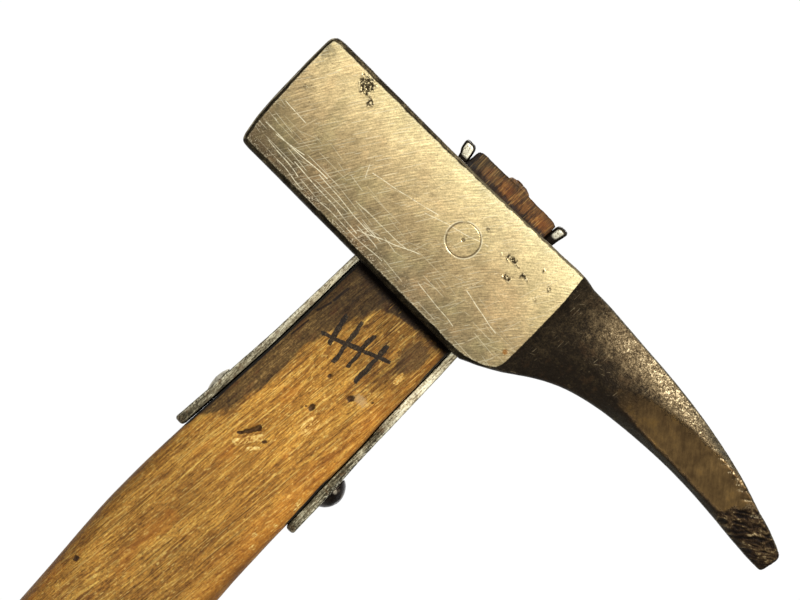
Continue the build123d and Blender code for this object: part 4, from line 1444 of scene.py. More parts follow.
def foot_iron(name, stops, line_scale, scratch_deg):
    """Dull grey iron with lines round or along it, and rust in patches."""
    mat = Shader(name)
    big = mat.noise(0.10, detail=3, rough=0.55)
    mid = mat.noise(0.42, detail=4, rough=0.6)
    fine = mat.noise(1.7, detail=3, rough=0.65)
    lines = mat.noise(line_scale, detail=3, rough=0.6)
    value = ((big.stretch() * 0.32 + mid.stretch() * 0.22)
             + (lines.stretch(0.3, 0.7) * 0.36 + fine.stretch(0.3, 0.7) * 0.10))
    colour = value.ramp(*stops)
    rust = mat.noise(0.22, detail=4, rough=0.66, shift=(5.0, 2.0, 8.0)).step(0.55, 0.70)
    colour = colour.blend(rust * 0.50, fine.stretch().pick((66, 40, 24), (120, 80, 50)))
    hollow = mat.attr("cav")
    colour = colour.blend(hollow.step(-0.05, -0.14) * 0.75, (40, 30, 22))
    colour = colour.blend(hollow.step(0.05, 0.13) * 0.35, (196, 186, 160))
    scratches = (mat.scratches(scratch_deg, 1.6, 9.0, 0.12, 0.34, 0.8, 5.0)
                 | mat.scratches(48.0, 2.2, 6.0, 0.10, 0.25, 1.0, 11.0))
    colour = colour.blend(scratches * 0.5, (214, 204, 176))
    rough = rust.between(0.20 + fine * 0.22, 0.74)
    height = lines * 0.05 + (mid * 0.10 + fine * 0.02) + rust * 0.04
    return mat.finish(colour, rough, metal=0.96, height=height)


GROUND = ground_steel()
FORGED = forged_steel()
WOOD = shaft_wood()
END_GRAIN = end_grain("shaft_end_grain", brightness=0.64, tint=0.48)
WEDGE_WOOD = end_grain("wedge_wood", brightness=0.57, tint=0.62)
STRAP_STEEL = strap_steel()
RIVET_STEEL = dark_iron(
    "rivet_steel",
    [(0.34, 16, 11, 8), (0.5, 30, 23, 18), (0.62, 48, 38, 30), (0.8, 96, 82, 66)],
    relief=0.7, metal=0.9, smoothest=0.12,
    # painted highlights on the rivet head's dome
    painted_highlights=[(20.35, -4.4, -44.5, 0.85, (196, 184, 160), 0.70),
           (20.9, -3.9, -43.6, 0.7, (120, 106, 88), 0.5),
           (22.2, -1.9, -44.2, 0.8, (96, 82, 68), 0.5)])
TAIL_STEEL = dark_iron(
    "rivet_tail_steel",
    [(0.34, 96, 88, 68), (0.5, 170, 162, 138), (0.64, 214, 208, 186), (0.8, 240, 236, 218)])
FERRULE_STEEL = foot_iron(
    "ferrule_steel",
    [(0.10, 92, 84, 70), (0.40, 126, 116, 98), (0.65, 150, 140, 120), (0.92, 186, 176, 154)],
    line_scale=(0.30, 0.30, 3.4), scratch_deg=12.0)
SPIKE_STEEL = foot_iron(
    "spike_steel",
    [(0.10, 58, 50, 40), (0.40, 84, 75, 62), (0.65, 108, 98, 82), (0.92, 146, 134, 112)],
    line_scale=(1.9, 1.9, 0.14), scratch_deg=82.0)

(verts, faces, face_mats), eye_wall = build_head()
verts, attrs = displace_head(verts, faces, eye_wall)
make_part("head_forging", "head", (verts, faces, face_mats), [GROUND, FORGED],
          attrs)


# ============================================================ shaft
# Rear edge and front edge: (Z, X)
REAR = [
    (-270.0, -9.0), (-266.0, -9.6), (-250.0, -11.3), (-232.0, -13.2), (-205.0, -13.5),
    (-175.0, -13.6), (-140.0, -14.5), (-120.0, -15.6), (-111.4, -16.15), (-102.4, -16.8),
    (-93.3, -17.5), (-81.8, -18.02), (-74.9, -18.05), (-66.0, -17.85), (-61.7, -17.7),
    (-58.75, -17.62), (-53.1, -17.3), (-44.8, -16.9), (-36.0, -16.5), (-27.6, -16.1),
    (0.0, -15.70), (14.0, -15.28), (27.0, -14.9), (35.0, -14.55), (36.5, -14.45),
    (38.0, -14.35), (39.2, -14.2), (42.0, -14.05)]
FRONT = [
    (-270.0, 9.0), (-266.0, 9.6), (-250.0, 11.3), (-232.0, 13.2), (-205.0, 13.5),
    (-175.0, 13.9), (-140.0, 15.4), (-120.0, 16.9), (-108.0, 17.8), (-96.0, 18.5),
    (-86.0, 18.7), (-76.4, 18.15), (-69.6, 17.9), (-64.9, 17.7), (-56.5, 17.55),
    (-44.7, 17.0), (-32.0, 16.72), (-23.5, 16.2), (0.0, 15.70), (20.0, 13.64), (35.0, 12.1),
    (42.0, 12.1)]
# (Z, half thickness in Y) and (Z, corner radius)
THICK = [
    (-270.0, 7.4), (-266.0, 8.0), (-250.0, 9.1), (-232.0, 10.6), (-205.0, 10.8),
    (-175.0, 11.0), (-140.0, 11.0), (-111.4, 10.8), (-80.0, 10.6), (-44.8, 10.4),
    (-23.5, 10.3), (-3.0, 10.2), (-1.6, 9.9), (-0.5, 8.6), (0.3, 7.95), (42.0, 7.95)]
ROUND = [
    (-270.0, 6.8), (-266.0, 7.4), (-232.0, 9.4), (-205.0, 9.4), (-175.0, 9.2), (-140.0, 8.2),
    (-111.4, 6.6), (-80.0, 4.6), (-61.7, 3.6), (-44.8, 2.9), (-23.5, 2.5), (-3.0, 2.3),
    (0.3, 1.2), (42.0, 1.2)]
# The shaft's cut end above the head: (X, Z)
WOOD_TOP = [
    (-14.4, 38.9), (-13.9, 39.5), (-13.0, 39.95), (-11.0, 40.1), (-8.0, 40.0), (-4.3, 40.2),
    (2.5, 40.3), (4.0, 40.25), (9.0, 40.3), (11.4, 40.1), (12.2, 39.8)]
HOLE_RADIUS, MOUTH_RADIUS = 4.0, 4.6
MOUTH = [(0.12, 4.32), (0.35, 4.12), (0.75, 4.02)]     # the hole's lip: (depth, radius)


def wood_top(x):
    return np.interp(x, *zip(*WOOD_TOP))


def wood_cap(patch, u, v):
    patch[..., 2] = wood_top(patch[..., 0])
    return patch


def shaft_row(z, rear, front, half_y, radius):
    """One section of the shaft, and its corner places."""
    half_x, mid = (front - rear) / 2, (rear + front) / 2
    radius = min(radius, 0.97 * half_y, 0.49 * (front - rear))
    outline, corners = rounded_rect(half_x, half_y, radius, n_x=64, n_y=18, n_arc=8)
    x, y = outline[:, 0] + mid, outline[:, 1]
    # the broad faces are very slightly crowned, more towards the grip
    crown = 0.25 + 0.5 * float(smooth(-60, -140, z))
    share = (x - mid) / half_x
    y = y - np.sign(y) * crown * np.abs(share) ** 2.2 * (np.abs(y) > 0.3 * half_y)
    height = np.full(len(outline), z)
    if z > 33.0:
        height = 33.0 + (z - 33.0) / 7.5 * (wood_top(x) - 33.0)
    return np.stack([x, y, height], 1), corners


def open_mouth(points, zs, low, high, side, thick):
    """Bends the sheet's lines round the hole on one side; returns the columns to leave out."""
    mid_row = points[(low + high) // 2]
    columns = np.where((np.sign(mid_row[:, 1]) == side)
                       & (np.abs(mid_row[:, 1]) > 0.5 * thick))[0]
    left = columns[np.argmin(abs(mid_row[columns, 0] + MOUTH_RADIUS))]
    right = columns[np.argmin(abs(mid_row[columns, 0] - MOUTH_RADIUS))]
    half_x = 0.5 * (abs(mid_row[left, 0]) + abs(mid_row[right, 0]))
    dx = points[:, columns, 0].copy()
    dz = points[:, columns, 2] - HOLE_Z
    unit_x = dx / half_x
    unit_z = np.where(dz < 0, dz / (HOLE_Z - zs[low]), dz / (zs[high] - HOLE_Z))
    square = np.maximum(np.abs(unit_x), np.abs(unit_z))
    pull = square / np.maximum(np.hypot(unit_x, unit_z), 1e-9)
    weight = smooth(2.6, 1.0, square)
    points[:, columns, 0] = dx * (1 - weight) + unit_x * pull * MOUTH_RADIUS * weight
    points[:, columns, 2] = (dz * (1 - weight)
                             + unit_z * pull * MOUTH_RADIUS * weight) + HOLE_Z
    return min(left, right), max(left, right)


def build_shaft():
    """The shaft's closed mesh with its through hole, and the hole's wall."""
    zs = np.concatenate([
        np.linspace(-266.0, -218.0, 42), np.linspace(-217.2, -202.8, 25),
        np.linspace(-202.0, -130.0, 92), np.linspace(-129.4, -3.2, 250),
        np.linspace(-2.8, 1.0, 12), np.linspace(2.8, 33.0, 20), np.linspace(33.7, 40.5, 16)])
    thick = pchip(zs, THICK)
    rows = []
    for station in zip(zs, pchip(zs, REAR), pchip(zs, FRONT), thick, pchip(zs, ROUND)):
        row, corners = shaft_row(*station)
        rows.append(row)
    points = np.stack(rows)
    low = int(np.argmin(abs(zs - (HOLE_Z - MOUTH_RADIUS))))
    high = int(np.argmin(abs(zs - (HOLE_Z + MOUTH_RADIUS))))
    keep = np.ones((len(zs) - 1, points.shape[1]), dtype=bool)
    mouths = []
    for side in (-1, 1):
        first, last = open_mouth(points, zs, low, high, side, thick.max())
        keep[low:high, first:last] = False
        mouths.append((first, last))
    mats = np.zeros(keep.shape, dtype=int)
    mats[zs[:-1] >= 34.0, :] = 1
    skin = Skin()
    idx = skin.add(points)
    skin.faces(idx, mats, closed=True, keep=keep)

    def rim(first, last):
        across = list(range(first, last + 1))
        if points[low, first, 0] >= points[low, last, 0]:
            across = across[::-1]              # X rising
        loop = [(low, k) for k in across] + [(i, across[-1]) for i in range(low + 1, high)]
        loop += [(high, k) for k in across[::-1]]
        loop += [(i, across[0]) for i in range(high - 1, low, -1)]
        return tuple(np.array(loop).T)

    near_rim, far_rim = (rim(*mouth) for mouth in mouths)
    near_points = points[near_rim]
    near_y, far_y = near_points[:, 1], points[far_rim][:, 1]
    angle = np.arctan2(near_points[:, 2] - HOLE_Z, near_points[:, 0])
    rings = [(near_y + depth, radius) for depth, radius in MOUTH]
    rings += [(near_y * (1 - k / 8) + far_y * (k / 8), HOLE_RADIUS) for k in range(1, 8)]
    rings += [(far_y - depth, radius) for depth, radius in MOUTH[::-1]]
    wall = np.stack([np.stack([radius * np.cos(angle), y, HOLE_Z + radius * np.sin(angle)], 1)
                     for y, radius in rings])
    wall = skin.bridge(idx[near_rim], wall, idx[far_rim])
    skin.cap(idx[0], points[0], corners, 1, flip=True)
    skin.cap(idx[-1], points[-1], corners, shape=wood_cap, mat=1)
    return skin.arrays(), wall


# Small holes in the -Y face: (X, Z, radius, depth)
HOLES = [
    (-1.0, -25.2, 0.62, 0.7), (6.7, -25.6, 0.95, 0.8), (1.3, -33.9, 0.95, 0.8),
    (0.2, -34.6, 0.5, 0.5), (-13.2, -101.0, 0.8, 0.6), (6.0, -74.0, 0.4, 0.25),
    (-9.0, -83.0, 0.45, 0.3), (11.2, -22.6, 0.5, 0.4)]
# Light chips at the -Y face's edges: (X, Z, radius)
WOOD_CHIPS = [(15.8, -52.6, 0.7), (16.4, -54.2, 0.6), (15.6, -68.5, 0.5), (13.6, -66.2, 0.55),
              (15.8, -60.5, 0.5), (11.6, -13.6, 0.8)]
# Knocks: (X, Z, radius in X, radius in Z, depth, side in Y)
KNOCKS = [(5.0, -70.0, 1.2, 3.0, 0.4, 1), (-7.0, -128.0, 1.6, 2.4, 0.35, 1),
          (2.0, -98.0, 0.8, 4.0, 0.3, 1), (8.0, -150.0, 1.0, 3.0, 0.3, -1),
          (-3.0, -176.0, 1.4, 2.0, 0.25, -1)]


def splinter(x, z, front, ragged, disp):
    """A torn hollow with a pale splinter beside it; returns how raw the wood is."""

    def local(centre_x, centre_z, deg):
        cos, sin = math.cos(math.radians(deg)), math.sin(math.radians(deg))
        dx, dz = x - centre_x, z - centre_z
        return dx * cos + dz * sin, -dx * sin + dz * cos

    along, across = local(-5.3, -48.5, 57)
    taper = np.clip(0.62 + 0.16 * along, 0.25, 1.1)
    width = (np.abs(across - 0.15 * ragged) + 0.42 * ragged) / taper
    disp -= 0.85 * (front * smooth(3.3, 2.3, np.abs(along) + 0.9 * ragged)
                    * smooth(0.95, 0.5, width))
    along, across = local(-4.0, -50.6, 55)
    raised = (front * smooth(4.4, 3.5, np.abs(along) + 0.5 * ragged)
              * smooth(1.10, 0.70, np.abs(across) + 0.3 * ragged))
    disp += 0.30 * raised
    along, across = local(-0.8, -48.1, 60)
    disp -= 0.5 * (front * smooth(0.8, 0.4, np.abs(along)) * smooth(0.6, 0.3, np.abs(across)))
    along, across = local(-1.6, -51.2, 50)
    torn = (front * smooth(2.4, 1.6, np.abs(along) + 0.5 * ragged)
            * smooth(0.80, 0.40, np.abs(across) + 0.3 * ragged))
    return np.maximum(np.maximum(0.0, raised), 0.95 * torn)


def displace_shaft(verts, faces, wall):
    """Roughens the shaft; returns its vertices and the attributes its materials read."""
    normal = normals(verts, faces)
    x, y, z = verts.T
    below = smooth(0.0, -2.0, z)
    grain = verts.copy()
    grain[:, 0] -= 0.10 * z
    disp = (0.07 * fbm(grain * [1, 1, 0.10], 2.2, 3, seed=51) * below
            + 0.07 * fbm(grain * [1, 1, 0.2], 9.0, 2, seed=52) * below)
    front = y < -6.0
    ragged = fbm(verts, 1.0, 3, seed=53)
    raw = splinter(x, z, front, ragged, disp)
    for hole_x, hole_z, radius, depth in HOLES:
        dist = np.hypot(x - hole_x, (z - hole_z) * 0.8) + 0.2 * ragged
        disp -= front * depth * smooth(radius, radius * 0.4, dist)
    # scraped lighter hollow under the third hole
    dist = np.hypot((x - 4.3) / 3.2, (z + 37.6) / 3.4) + 0.35 * ragged
    weight = front * smooth(1.15, 0.4, dist)
    disp -= 0.14 * weight
    raw = np.maximum(raw, 0.62 * weight)
    for chip_x, chip_z, radius in WOOD_CHIPS:
        dist = np.hypot(x - chip_x, (z - chip_z) * 0.42) / radius + 0.7 * ragged
        weight = front * smooth(1.2, 0.5, dist)
        raw = np.maximum(raw, 0.8 * weight)
        disp -= 0.15 * weight
    knock_noise = 0.25 * fbm(verts, 1.6, 2, seed=55)
    for knock_x, knock_z, radius_x, radius_z, depth, side in KNOCKS:
        dist = np.hypot((x - knock_x) / radius_x, (z - knock_z) / radius_z) + knock_noise
        disp -= (y * side > 4) * depth * smooth(1.0, 0.4, dist)
    # end of the shaft above the head: split end grain
    end = smooth(35.2, 36.4, z)
    upright = np.abs(normal[:, 2]) < 0.7
    crack = np.clip(fbm(verts * [1.0, 1.0, 0.08], 1.5, 3, seed=56), -1, 1)
    disp += end * (0.24 * crack - 0.12 * smooth(0.05, -0.3, crack)) * upright
    disp += end * 0.20 * fbm(verts, 1.2, 3, seed=57) * ~upright
    # nothing moves inside the head, inside the ferrule or in the hole
    in_head = smooth(-0.5, 0.5, z) * (1 - end)
    disp = disp * (1 - in_head) * smooth(-232.5, -231.0, z)
    disp[wall] = 0.0
    # grime and painted shade in the crevices along both straps
    by_straps = smooth(-60.5, -57.5, z) * smooth(0.5, 0.0, z)
    ends = 0.30 + 0.70 * np.maximum(smooth(-41.0, -47.0, z), smooth(-13.0, -7.0, z))
    crevice_grime_shade = by_straps * np.maximum(smooth(0.85, 0.25, x - pchip(z, REAR)),
                                     ends * smooth(0.75, 0.2, pchip(z, FRONT) - x))
    return verts + normal * disp[:, None], {
        "ny": normal[:, 1], "nz": normal[:, 2], "cav": disp, "raw": raw, "crev_grime_shade": crevice_grime_shade}


(verts, faces, face_mats), hole_wall = build_shaft()
verts, attrs = displace_shaft(verts, faces, hole_wall)
make_part("shaft_wood", "shaft", (verts, faces, face_mats), [WOOD, END_GRAIN],
          attrs)


# ============================================================ straps
# Each strap's face away from the wood and face against it: (Z, X)
REAR_OUTER = [
    (-59.6, -20.62), (-57.5, -20.42), (-48.0, -19.75), (-40.4, -19.25), (-27.6, -18.45),
    (-14.0, -18.05), (0.0, -17.70), (17.0, -17.29), (34.0, -16.88), (36.0, -17.22),
    (37.4, -17.98), (40.0, -18.48)]
REAR_INNER = [
    (-59.6, -17.95), (-57.5, -17.72), (-48.0, -17.15), (-40.4, -16.75), (-27.6, -16.10),
    (-14.0, -15.92), (0.0, -15.78), (17.0, -15.27), (34.0, -14.76), (36.0, -14.42),
    (37.4, -14.62), (40.0, -15.25)]
FRONT_OUTER = [
    (-59.3, 20.25), (-57.5, 20.15), (-44.8, 19.72), (-34.0, 19.05), (-19.3, 18.62),
    (0.0, 17.92), (17.0, 16.38), (34.5, 14.80), (36.5, 14.98), (41.0, 15.85)]
FRONT_INNER = [
    (-59.3, 17.68), (-57.5, 17.60), (-44.7, 17.06), (-32.0, 16.80), (-23.5, 16.28),
    (0.0, 15.78), (17.0, 14.05), (34.5, 12.22), (36.5, 12.16), (41.0, 12.60)]
STRAP_HALF = 6.75                      # half width in Y
LOW_EDGE, HIGH_EDGE = 0.9, 1.05        # how the thickness rounds off at the two ends
LOW_CORNER, HIGH_CORNER = 2.4, 1.4     # how the width rounds off at the two ends


def build_strap(outer, inner, seed, grime_shade_width):
    """A flat bar between two lines; the last argument is how far grime and painted shadow creep
    from the wood.
    """
    z_low, z_high = outer[0][0], outer[-1][0]
    quarter = math.pi / 2
    zs = np.sort(np.concatenate([
        z_low + LOW_EDGE * (1 - np.cos(np.linspace(0, quarter, 7))[:-1]),
        np.linspace(z_low + LOW_EDGE, 33.0, 205),
        np.linspace(33.3, z_high - HIGH_EDGE, 22),
        z_high - HIGH_EDGE + HIGH_EDGE * np.sin(np.linspace(0, quarter, 8)[1:])]))
    rows = []
    for z in zs:
        x_out, x_in = float(pchip(z, outer)), float(pchip(z, inner))
        half_x = abs(x_out - x_in) / 2
        for end, radius in ((z_low, LOW_EDGE), (z_high, HIGH_EDGE)):
            half_x -= 0.95 * radius * drop((radius - abs(z - end)) / radius)
        half_x = max(half_x, 0.2)
        half_y = STRAP_HALF - LOW_CORNER * drop((LOW_CORNER - (z - z_low)) / LOW_CORNER)
        half_y -= HIGH_CORNER * drop((HIGH_CORNER - (z_high - z)) / HIGH_CORNER)
        half_y = max(half_y, 1.0)
        radius = 0.42 + 0.55 * float(smooth(35.0, 36.5, z))
        outline, corners = rounded_rect(half_x, half_y, min(radius, 0.9 * half_x),
                                        n_x=9, n_y=34, n_arc=4)
        rows.append(level_row(outline, z, (x_out + x_in) / 2))
    verts, faces, mats = tube(rows, corners)
    normal = normals(verts, faces)
    x, y, z = verts.T
    # only the parts clear of the head are rough
    free = 1 - smooth(-2.0, 0.0, z) * smooth(36.0, 34.5, z)
    narrow = smooth(0.6, 0.9, np.abs(normal[:, 1]))
    disp = free * (0.05 * fbm(verts, 2.2, 3, seed=seed)
                   + 0.035 * fbm(verts, 0.9, 2, seed=seed + 1))
    dist, number = worley(verts, 1.4, seed=seed + 2)
    disp -= free * 0.10 * smooth(0.4, 0.1, dist) * (number > 0.6)
    disp += free * narrow * 0.06 * fbm(verts * [1, 1, 0.4], 1.6, 3, seed=seed + 3)
    low = smooth(0.0, -2.0, z)
    from_in, from_out = np.abs(x - pchip(z, inner)), np.abs(x - pchip(z, outer))
    attrs = {
        # grime and painted shadow along the side against the wood
        "gap": smooth(grime_shade_width, 0.3 * grime_shade_width, from_in) * low,
        "outer": smooth(0.9, 0.1, from_out) * low,
        # how far the surface has turned away from the narrow side
        "round": (smooth(0.97, 0.75, np.abs(normal[:, 1]))
                  * (np.abs(y) > STRAP_HALF - 2.2)),
        "cav": disp,
        "flat": smooth(0.55, 0.9, np.abs(normal[:, 0])),
    }
    return (verts + normal * disp[:, None], faces, mats), attrs


for end, outer, inner, seed, grime_shade_width in (("rear", REAR_OUTER, REAR_INNER, 61, 0.62),
                                           ("front", FRONT_OUTER, FRONT_INNER, 71, 0.36)):
    shape, attrs = build_strap(outer, inner, seed, grime_shade_width)
    make_part(f"strap_{end}_bar", f"strap_{end}", shape, [STRAP_STEEL], attrs)


# ============================================================ rivet and pin along X
RIVET_Z = -45.5
RIVET_HEAD_RADIUS = 4.55
PIN_RADIUS = 2.0


def turned(profile, centre_z, segments, seed, amp, feature):
    """Turns (X, radius) from pole to pole about an X line; returns the shape and its relief."""
    angle = np.linspace(0, 2 * math.pi, segments, endpoint=False)
    rows = [np.stack([np.full(segments, x), radius * np.cos(angle),
                      centre_z + radius * np.sin(angle)], 1) for x, radius in profile[1:-1]]
    corners = [segments // 8 + k * segments // 4 for k in range(4)]
    verts, faces, mats = tube(rows, corners)
    disp = amp * fbm(verts, feature, 3, seed=seed)
    return verts + normals(verts, faces) * disp[:, None], faces, mats, disp


def dome(rim_x, radius, height, sign, steps=14):
    """Dome outline from its crown to its rim."""
    ball = (radius * radius + height * height) / (2 * height)
    half = math.asin(radius / ball)
    angles = [half * k / steps for k in range(steps + 1)]
    return [(rim_x + sign * (height - ball + ball * math.cos(a)), ball * math.sin(a))
            for a in angles]


def build_rivet():
    """Domed head at +X, flatter tail at -X."""
    profile = dome(19.95, RIVET_HEAD_RADIUS, 2.75, 1)
    profile += [(19.85, RIVET_HEAD_RADIUS), (19.70, 4.40), (19.55, 3.6), (19.5, 2.5)]
    profile += [(x, 2.48) for x in np.linspace(17.5, -17.5, 16)]
    profile += [(-19.3, 2.5), (-19.35, 3.4), (-19.5, 3.8)]
    profile += dome(-19.62, 3.9, 0.95, -1)[::-1]
    verts, faces, _, disp = turned(profile[::-1], RIVET_Z, 72, seed=81, amp=0.05, feature=1.8)
    # hammer marks on both ends
    dist, number = worley(verts, 2.1, seed=83)
    hit = smooth(0.5, 0.15, dist) * (number > 0.4)
    depth = 0.10 * hit * (verts[:, 0] > 19.9) + 0.06 * hit * (verts[:, 0] < -19.6)
    verts = verts - normals(verts, faces) * depth[:, None]
    mats = (verts[faces].mean(axis=1)[:, 0] < 0).astype(int)
    return (verts, faces, mats), {"cav": disp}


def build_pin():
    low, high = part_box("ferrule_pin")
    centre_z = (low.z + high.z) * 500 - HEAD_Z
    end = high.x * 1000
    cap = dome(end - 0.6, PIN_RADIUS, 0.6, 1, steps=8)
    profile = cap + [(x, PIN_RADIUS) for x in np.linspace(end - 1.2, -end + 1.2, 14)]
    profile += [(-x, radius) for x, radius in cap[::-1]]
    verts, faces, mats, disp = turned(profile[::-1], centre_z, 48, seed=85, amp=0.03,
                                      feature=1.2)
    return (verts, faces, mats), {"cav": disp}


shape, attrs = build_rivet()
make_part("cross_rivet_solid", "cross_rivet", shape, [RIVET_STEEL, TAIL_STEEL],
          attrs)
shape, attrs = build_pin()
make_part("ferrule_pin_solid", "ferrule_pin", shape, [RIVET_STEEL], attrs)


# ============================================================ eye wedge
def build_wedge():
    """A wooden wedge across the eye, thin below, its top edge rounded off."""
    z_low, z_full, z_round, round_height = 12.0, 40.3, 40.0, 1.3
    thin, full = 0.45, 3.4                 # half thickness at z_low and from z_full up
    rows = []
    for z in np.concatenate([np.linspace(z_low, 36.0, 20), np.linspace(36.6, 41.3, 16)]):
        share = min((z - z_low) / (z_full - z_low), 1.0)
        fall = drop((z - z_round) / round_height)
        half_x = thin + share * (full - thin) - 1.75 * fall
        half_y = 7.75 - 0.8 * fall
        outline, corners = rounded_rect(half_x, half_y, min(0.35, half_x * 0.6),
                                        n_x=12, n_y=30, n_arc=4)
        rows.append(level_row(outline, z, -0.95))
    verts, faces, mats = tube(rows, corners)
    top = smooth(39.6, 40.4, verts[:, 2])
    disp = top * (0.22 * fbm(verts * [1, 1, 0.2], 1.4, 3, seed=91) - 0.06)
    return (verts + normals(verts, faces) * disp[:, None], faces, mats), {"cav": disp}


shape, attrs = build_wedge()
make_part("eye_wedge_block", "eye_wedge", shape, [WEDGE_WOOD], attrs)


# ============================================================ ferrule and spike
FERRULE_WALL = 1.25
FERRULE_FLOOR = 2.0
FERRULE_MOUTH = 1.4                    # height of the rolled mouth
FERRULE_EDGE = 1.1                     # radius of the lower edge
TANG_HALF = 3.6
# The shaft's end inside the ferrule, 34 mm long from this height
SOCKET_Z, SOCKET_LENGTH = -266.0, 34.0


def ferrule_section(z, offset):
    """The shaft's tapered outline at height z, moved outward."""
    rise = z - SOCKET_Z
    half_x = 9.6 + (13.2 - 9.6) / SOCKET_LENGTH * rise + offset
    half_y = 8.0 + (10.6 - 8.0) / SOCKET_LENGTH * rise + offset
    radius = min(7.4 + 2.2 / SOCKET_LENGTH * rise + offset, 0.97 * half_y)
    return level_row(rounded_rect(half_x, half_y, radius, n_x=40, n_y=24, n_arc=10)[0], z)


def build_ferrule():
    """A tapered cup, open above, with a square hole in its floor for the spike's tang."""
    low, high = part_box("ferrule")
    z_low, z_high = low.z * 1000 - HEAD_Z, high.z * 1000 - HEAD_Z
    # up the outside, over the rolled mouth, and back down inside
    rows = []
    for k in range(4, -1, -1):
        angle = math.pi / 2 * k / 4
        rows.append(ferrule_section(z_low + FERRULE_EDGE * (1 - math.sin(angle)),
                                    FERRULE_WALL - FERRULE_EDGE * (1 - math.cos(angle))))
    for z in np.linspace(z_low + FERRULE_EDGE, z_high - FERRULE_MOUTH, 78)[1:]:
        # a bead between two grooves
        bead = (0.28 * math.exp(-((z - (z_high - 4.2)) / 0.55) ** 2)
                - 0.16 * math.exp(-((z - (z_high - 5.6)) / 0.5) ** 2)
                - 0.16 * math.exp(-((z - (z_high - 2.9)) / 0.45) ** 2))
        rows.append(ferrule_section(z, FERRULE_WALL + bead))
    for k in range(1, 7):
        angle = math.pi * k / 6
        rows.append(ferrule_section(z_high - 0.65 + 0.6 * math.sin(angle),
                                    0.62 + 0.6 * math.cos(angle)))
    for z in np.linspace(z_high - FERRULE_MOUTH, z_low + FERRULE_FLOOR, 16):
        rows.append(ferrule_section(z, 0.02))
    points = np.stack(rows)
    skin = Skin()
    idx = skin.add(points)
    skin.faces(idx, closed=True)
    # floor: the inner and outer rings meet in the square hole
    outer, inner = points[0], points[-1]
    angle = np.arctan2(outer[:, 1], outer[:, 0])
    reach = TANG_HALF / np.maximum(np.abs(np.cos(angle)), np.abs(np.sin(angle)))
    square = np.stack([reach * np.cos(angle), reach * np.sin(angle)], 1)
    hole_top, hole_low = level_row(square, z_low + FERRULE_FLOOR), level_row(square, z_low)
    rings = [inner * (1 - k / 8) + hole_top * (k / 8) for k in range(1, 8)]
    rings += [hole_top, hole_low]
    rings += [hole_low * (1 - k / 12) + outer * (k / 12) for k in range(1, 12)]
    skin.bridge(idx[-1], np.stack(rings), idx[0])
    verts, faces, mats = skin.arrays()
    outside = np.hypot(verts[:, 0] / 1.2, verts[:, 1]) > 8.4
    disp = outside * (0.07 * fbm(verts, 7.0, 2, seed=95) + 0.015 * fbm(verts, 1.6, 2, seed=96))
    dist, number = worley(verts, 3.4, seed=97)
    disp -= outside * 0.16 * smooth(0.32, 0.1, dist) * (number > 0.72)
    return (verts + normals(verts, faces) * disp[:, None], faces, mats), {"cav": disp}


SPIKE_LENGTH, SPIKE_BUTT = 42.0, 5.0   # tip to butt, and the straight part below the butt
SPIKE_HALF, TIP_HALF = 6.2, 1.1


def build_spike():
    """A square spike pointing down, with a thinner tang above its butt."""
    low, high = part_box("spike")
    z_tip, z_top = low.z * 1000 - HEAD_Z, high.z * 1000 - HEAD_Z
    z_butt = z_tip + SPIKE_LENGTH
    taper = SPIKE_LENGTH - SPIKE_BUTT
    profile = [(z_tip + 0.05, 0.55), (z_tip + 0.3, 0.85), (z_tip + 0.8, 1.15)]
    for z in np.linspace(z_tip + 1.4, z_butt - SPIKE_BUTT, 80):
        share = (z - z_tip) / taper
        swell = 0.35 * math.sin(math.pi * share)
        profile.append((z, TIP_HALF + share * (SPIKE_HALF - TIP_HALF) + swell))
    profile += [(z, SPIKE_HALF) for z in np.linspace(z_butt - 4.6, z_butt - 0.5, 10)]
    profile += [(z_butt - 0.2, 6.1), (z_butt - 0.02, 5.8), (z_butt - 0.02, 4.4),
                (z_butt, TANG_HALF)]
    profile += [(z, TANG_HALF - (z - z_butt) / (z_top - z_butt) * 1.4)
                for z in np.linspace(z_butt + 0.6, z_top, 24)]
    rows = []
    for z, half in profile:
        radius = 0.28 * half if z < z_butt else 0.3
        outline, corners = rounded_rect(half, half, radius, n_x=20, n_y=20, n_arc=6)
        rows.append(level_row(outline, z))
    verts, faces, mats = tube(rows, corners)
    visible = smooth(z_butt - 0.05, z_butt - 0.6, verts[:, 2])
    disp = visible * (0.10 * fbm(verts, 4.0, 3, seed=101) + 0.05 * fbm(verts, 1.1, 3, seed=102))
    dist, number = worley(verts, 2.6, seed=103)
    disp -= visible * 0.2 * smooth(0.4, 0.1, dist) * (number > 0.6)
    return (verts + normals(verts, faces) * disp[:, None], faces, mats), {"cav": disp}


shape, attrs = build_ferrule()
make_part("ferrule_shell", "ferrule", shape, [FERRULE_STEEL], attrs)
shape, attrs = build_spike()
make_part("spike_solid", "spike", shape, [SPIKE_STEEL], attrs)


# ============================================================ floor (metres from here on)
FLOOR_X = 0.02
FLOOR_DROP = 0.0002                    # gap under the lowest point
FLOOR_RINGS = [0.1, 0.2, 0.35, 0.5, 0.7, 0.9, 1.2]
FLOOR_SEGMENTS = 96
FLOOR_FADE = (0.12, 0.62)              # radii between which it fades to nothing


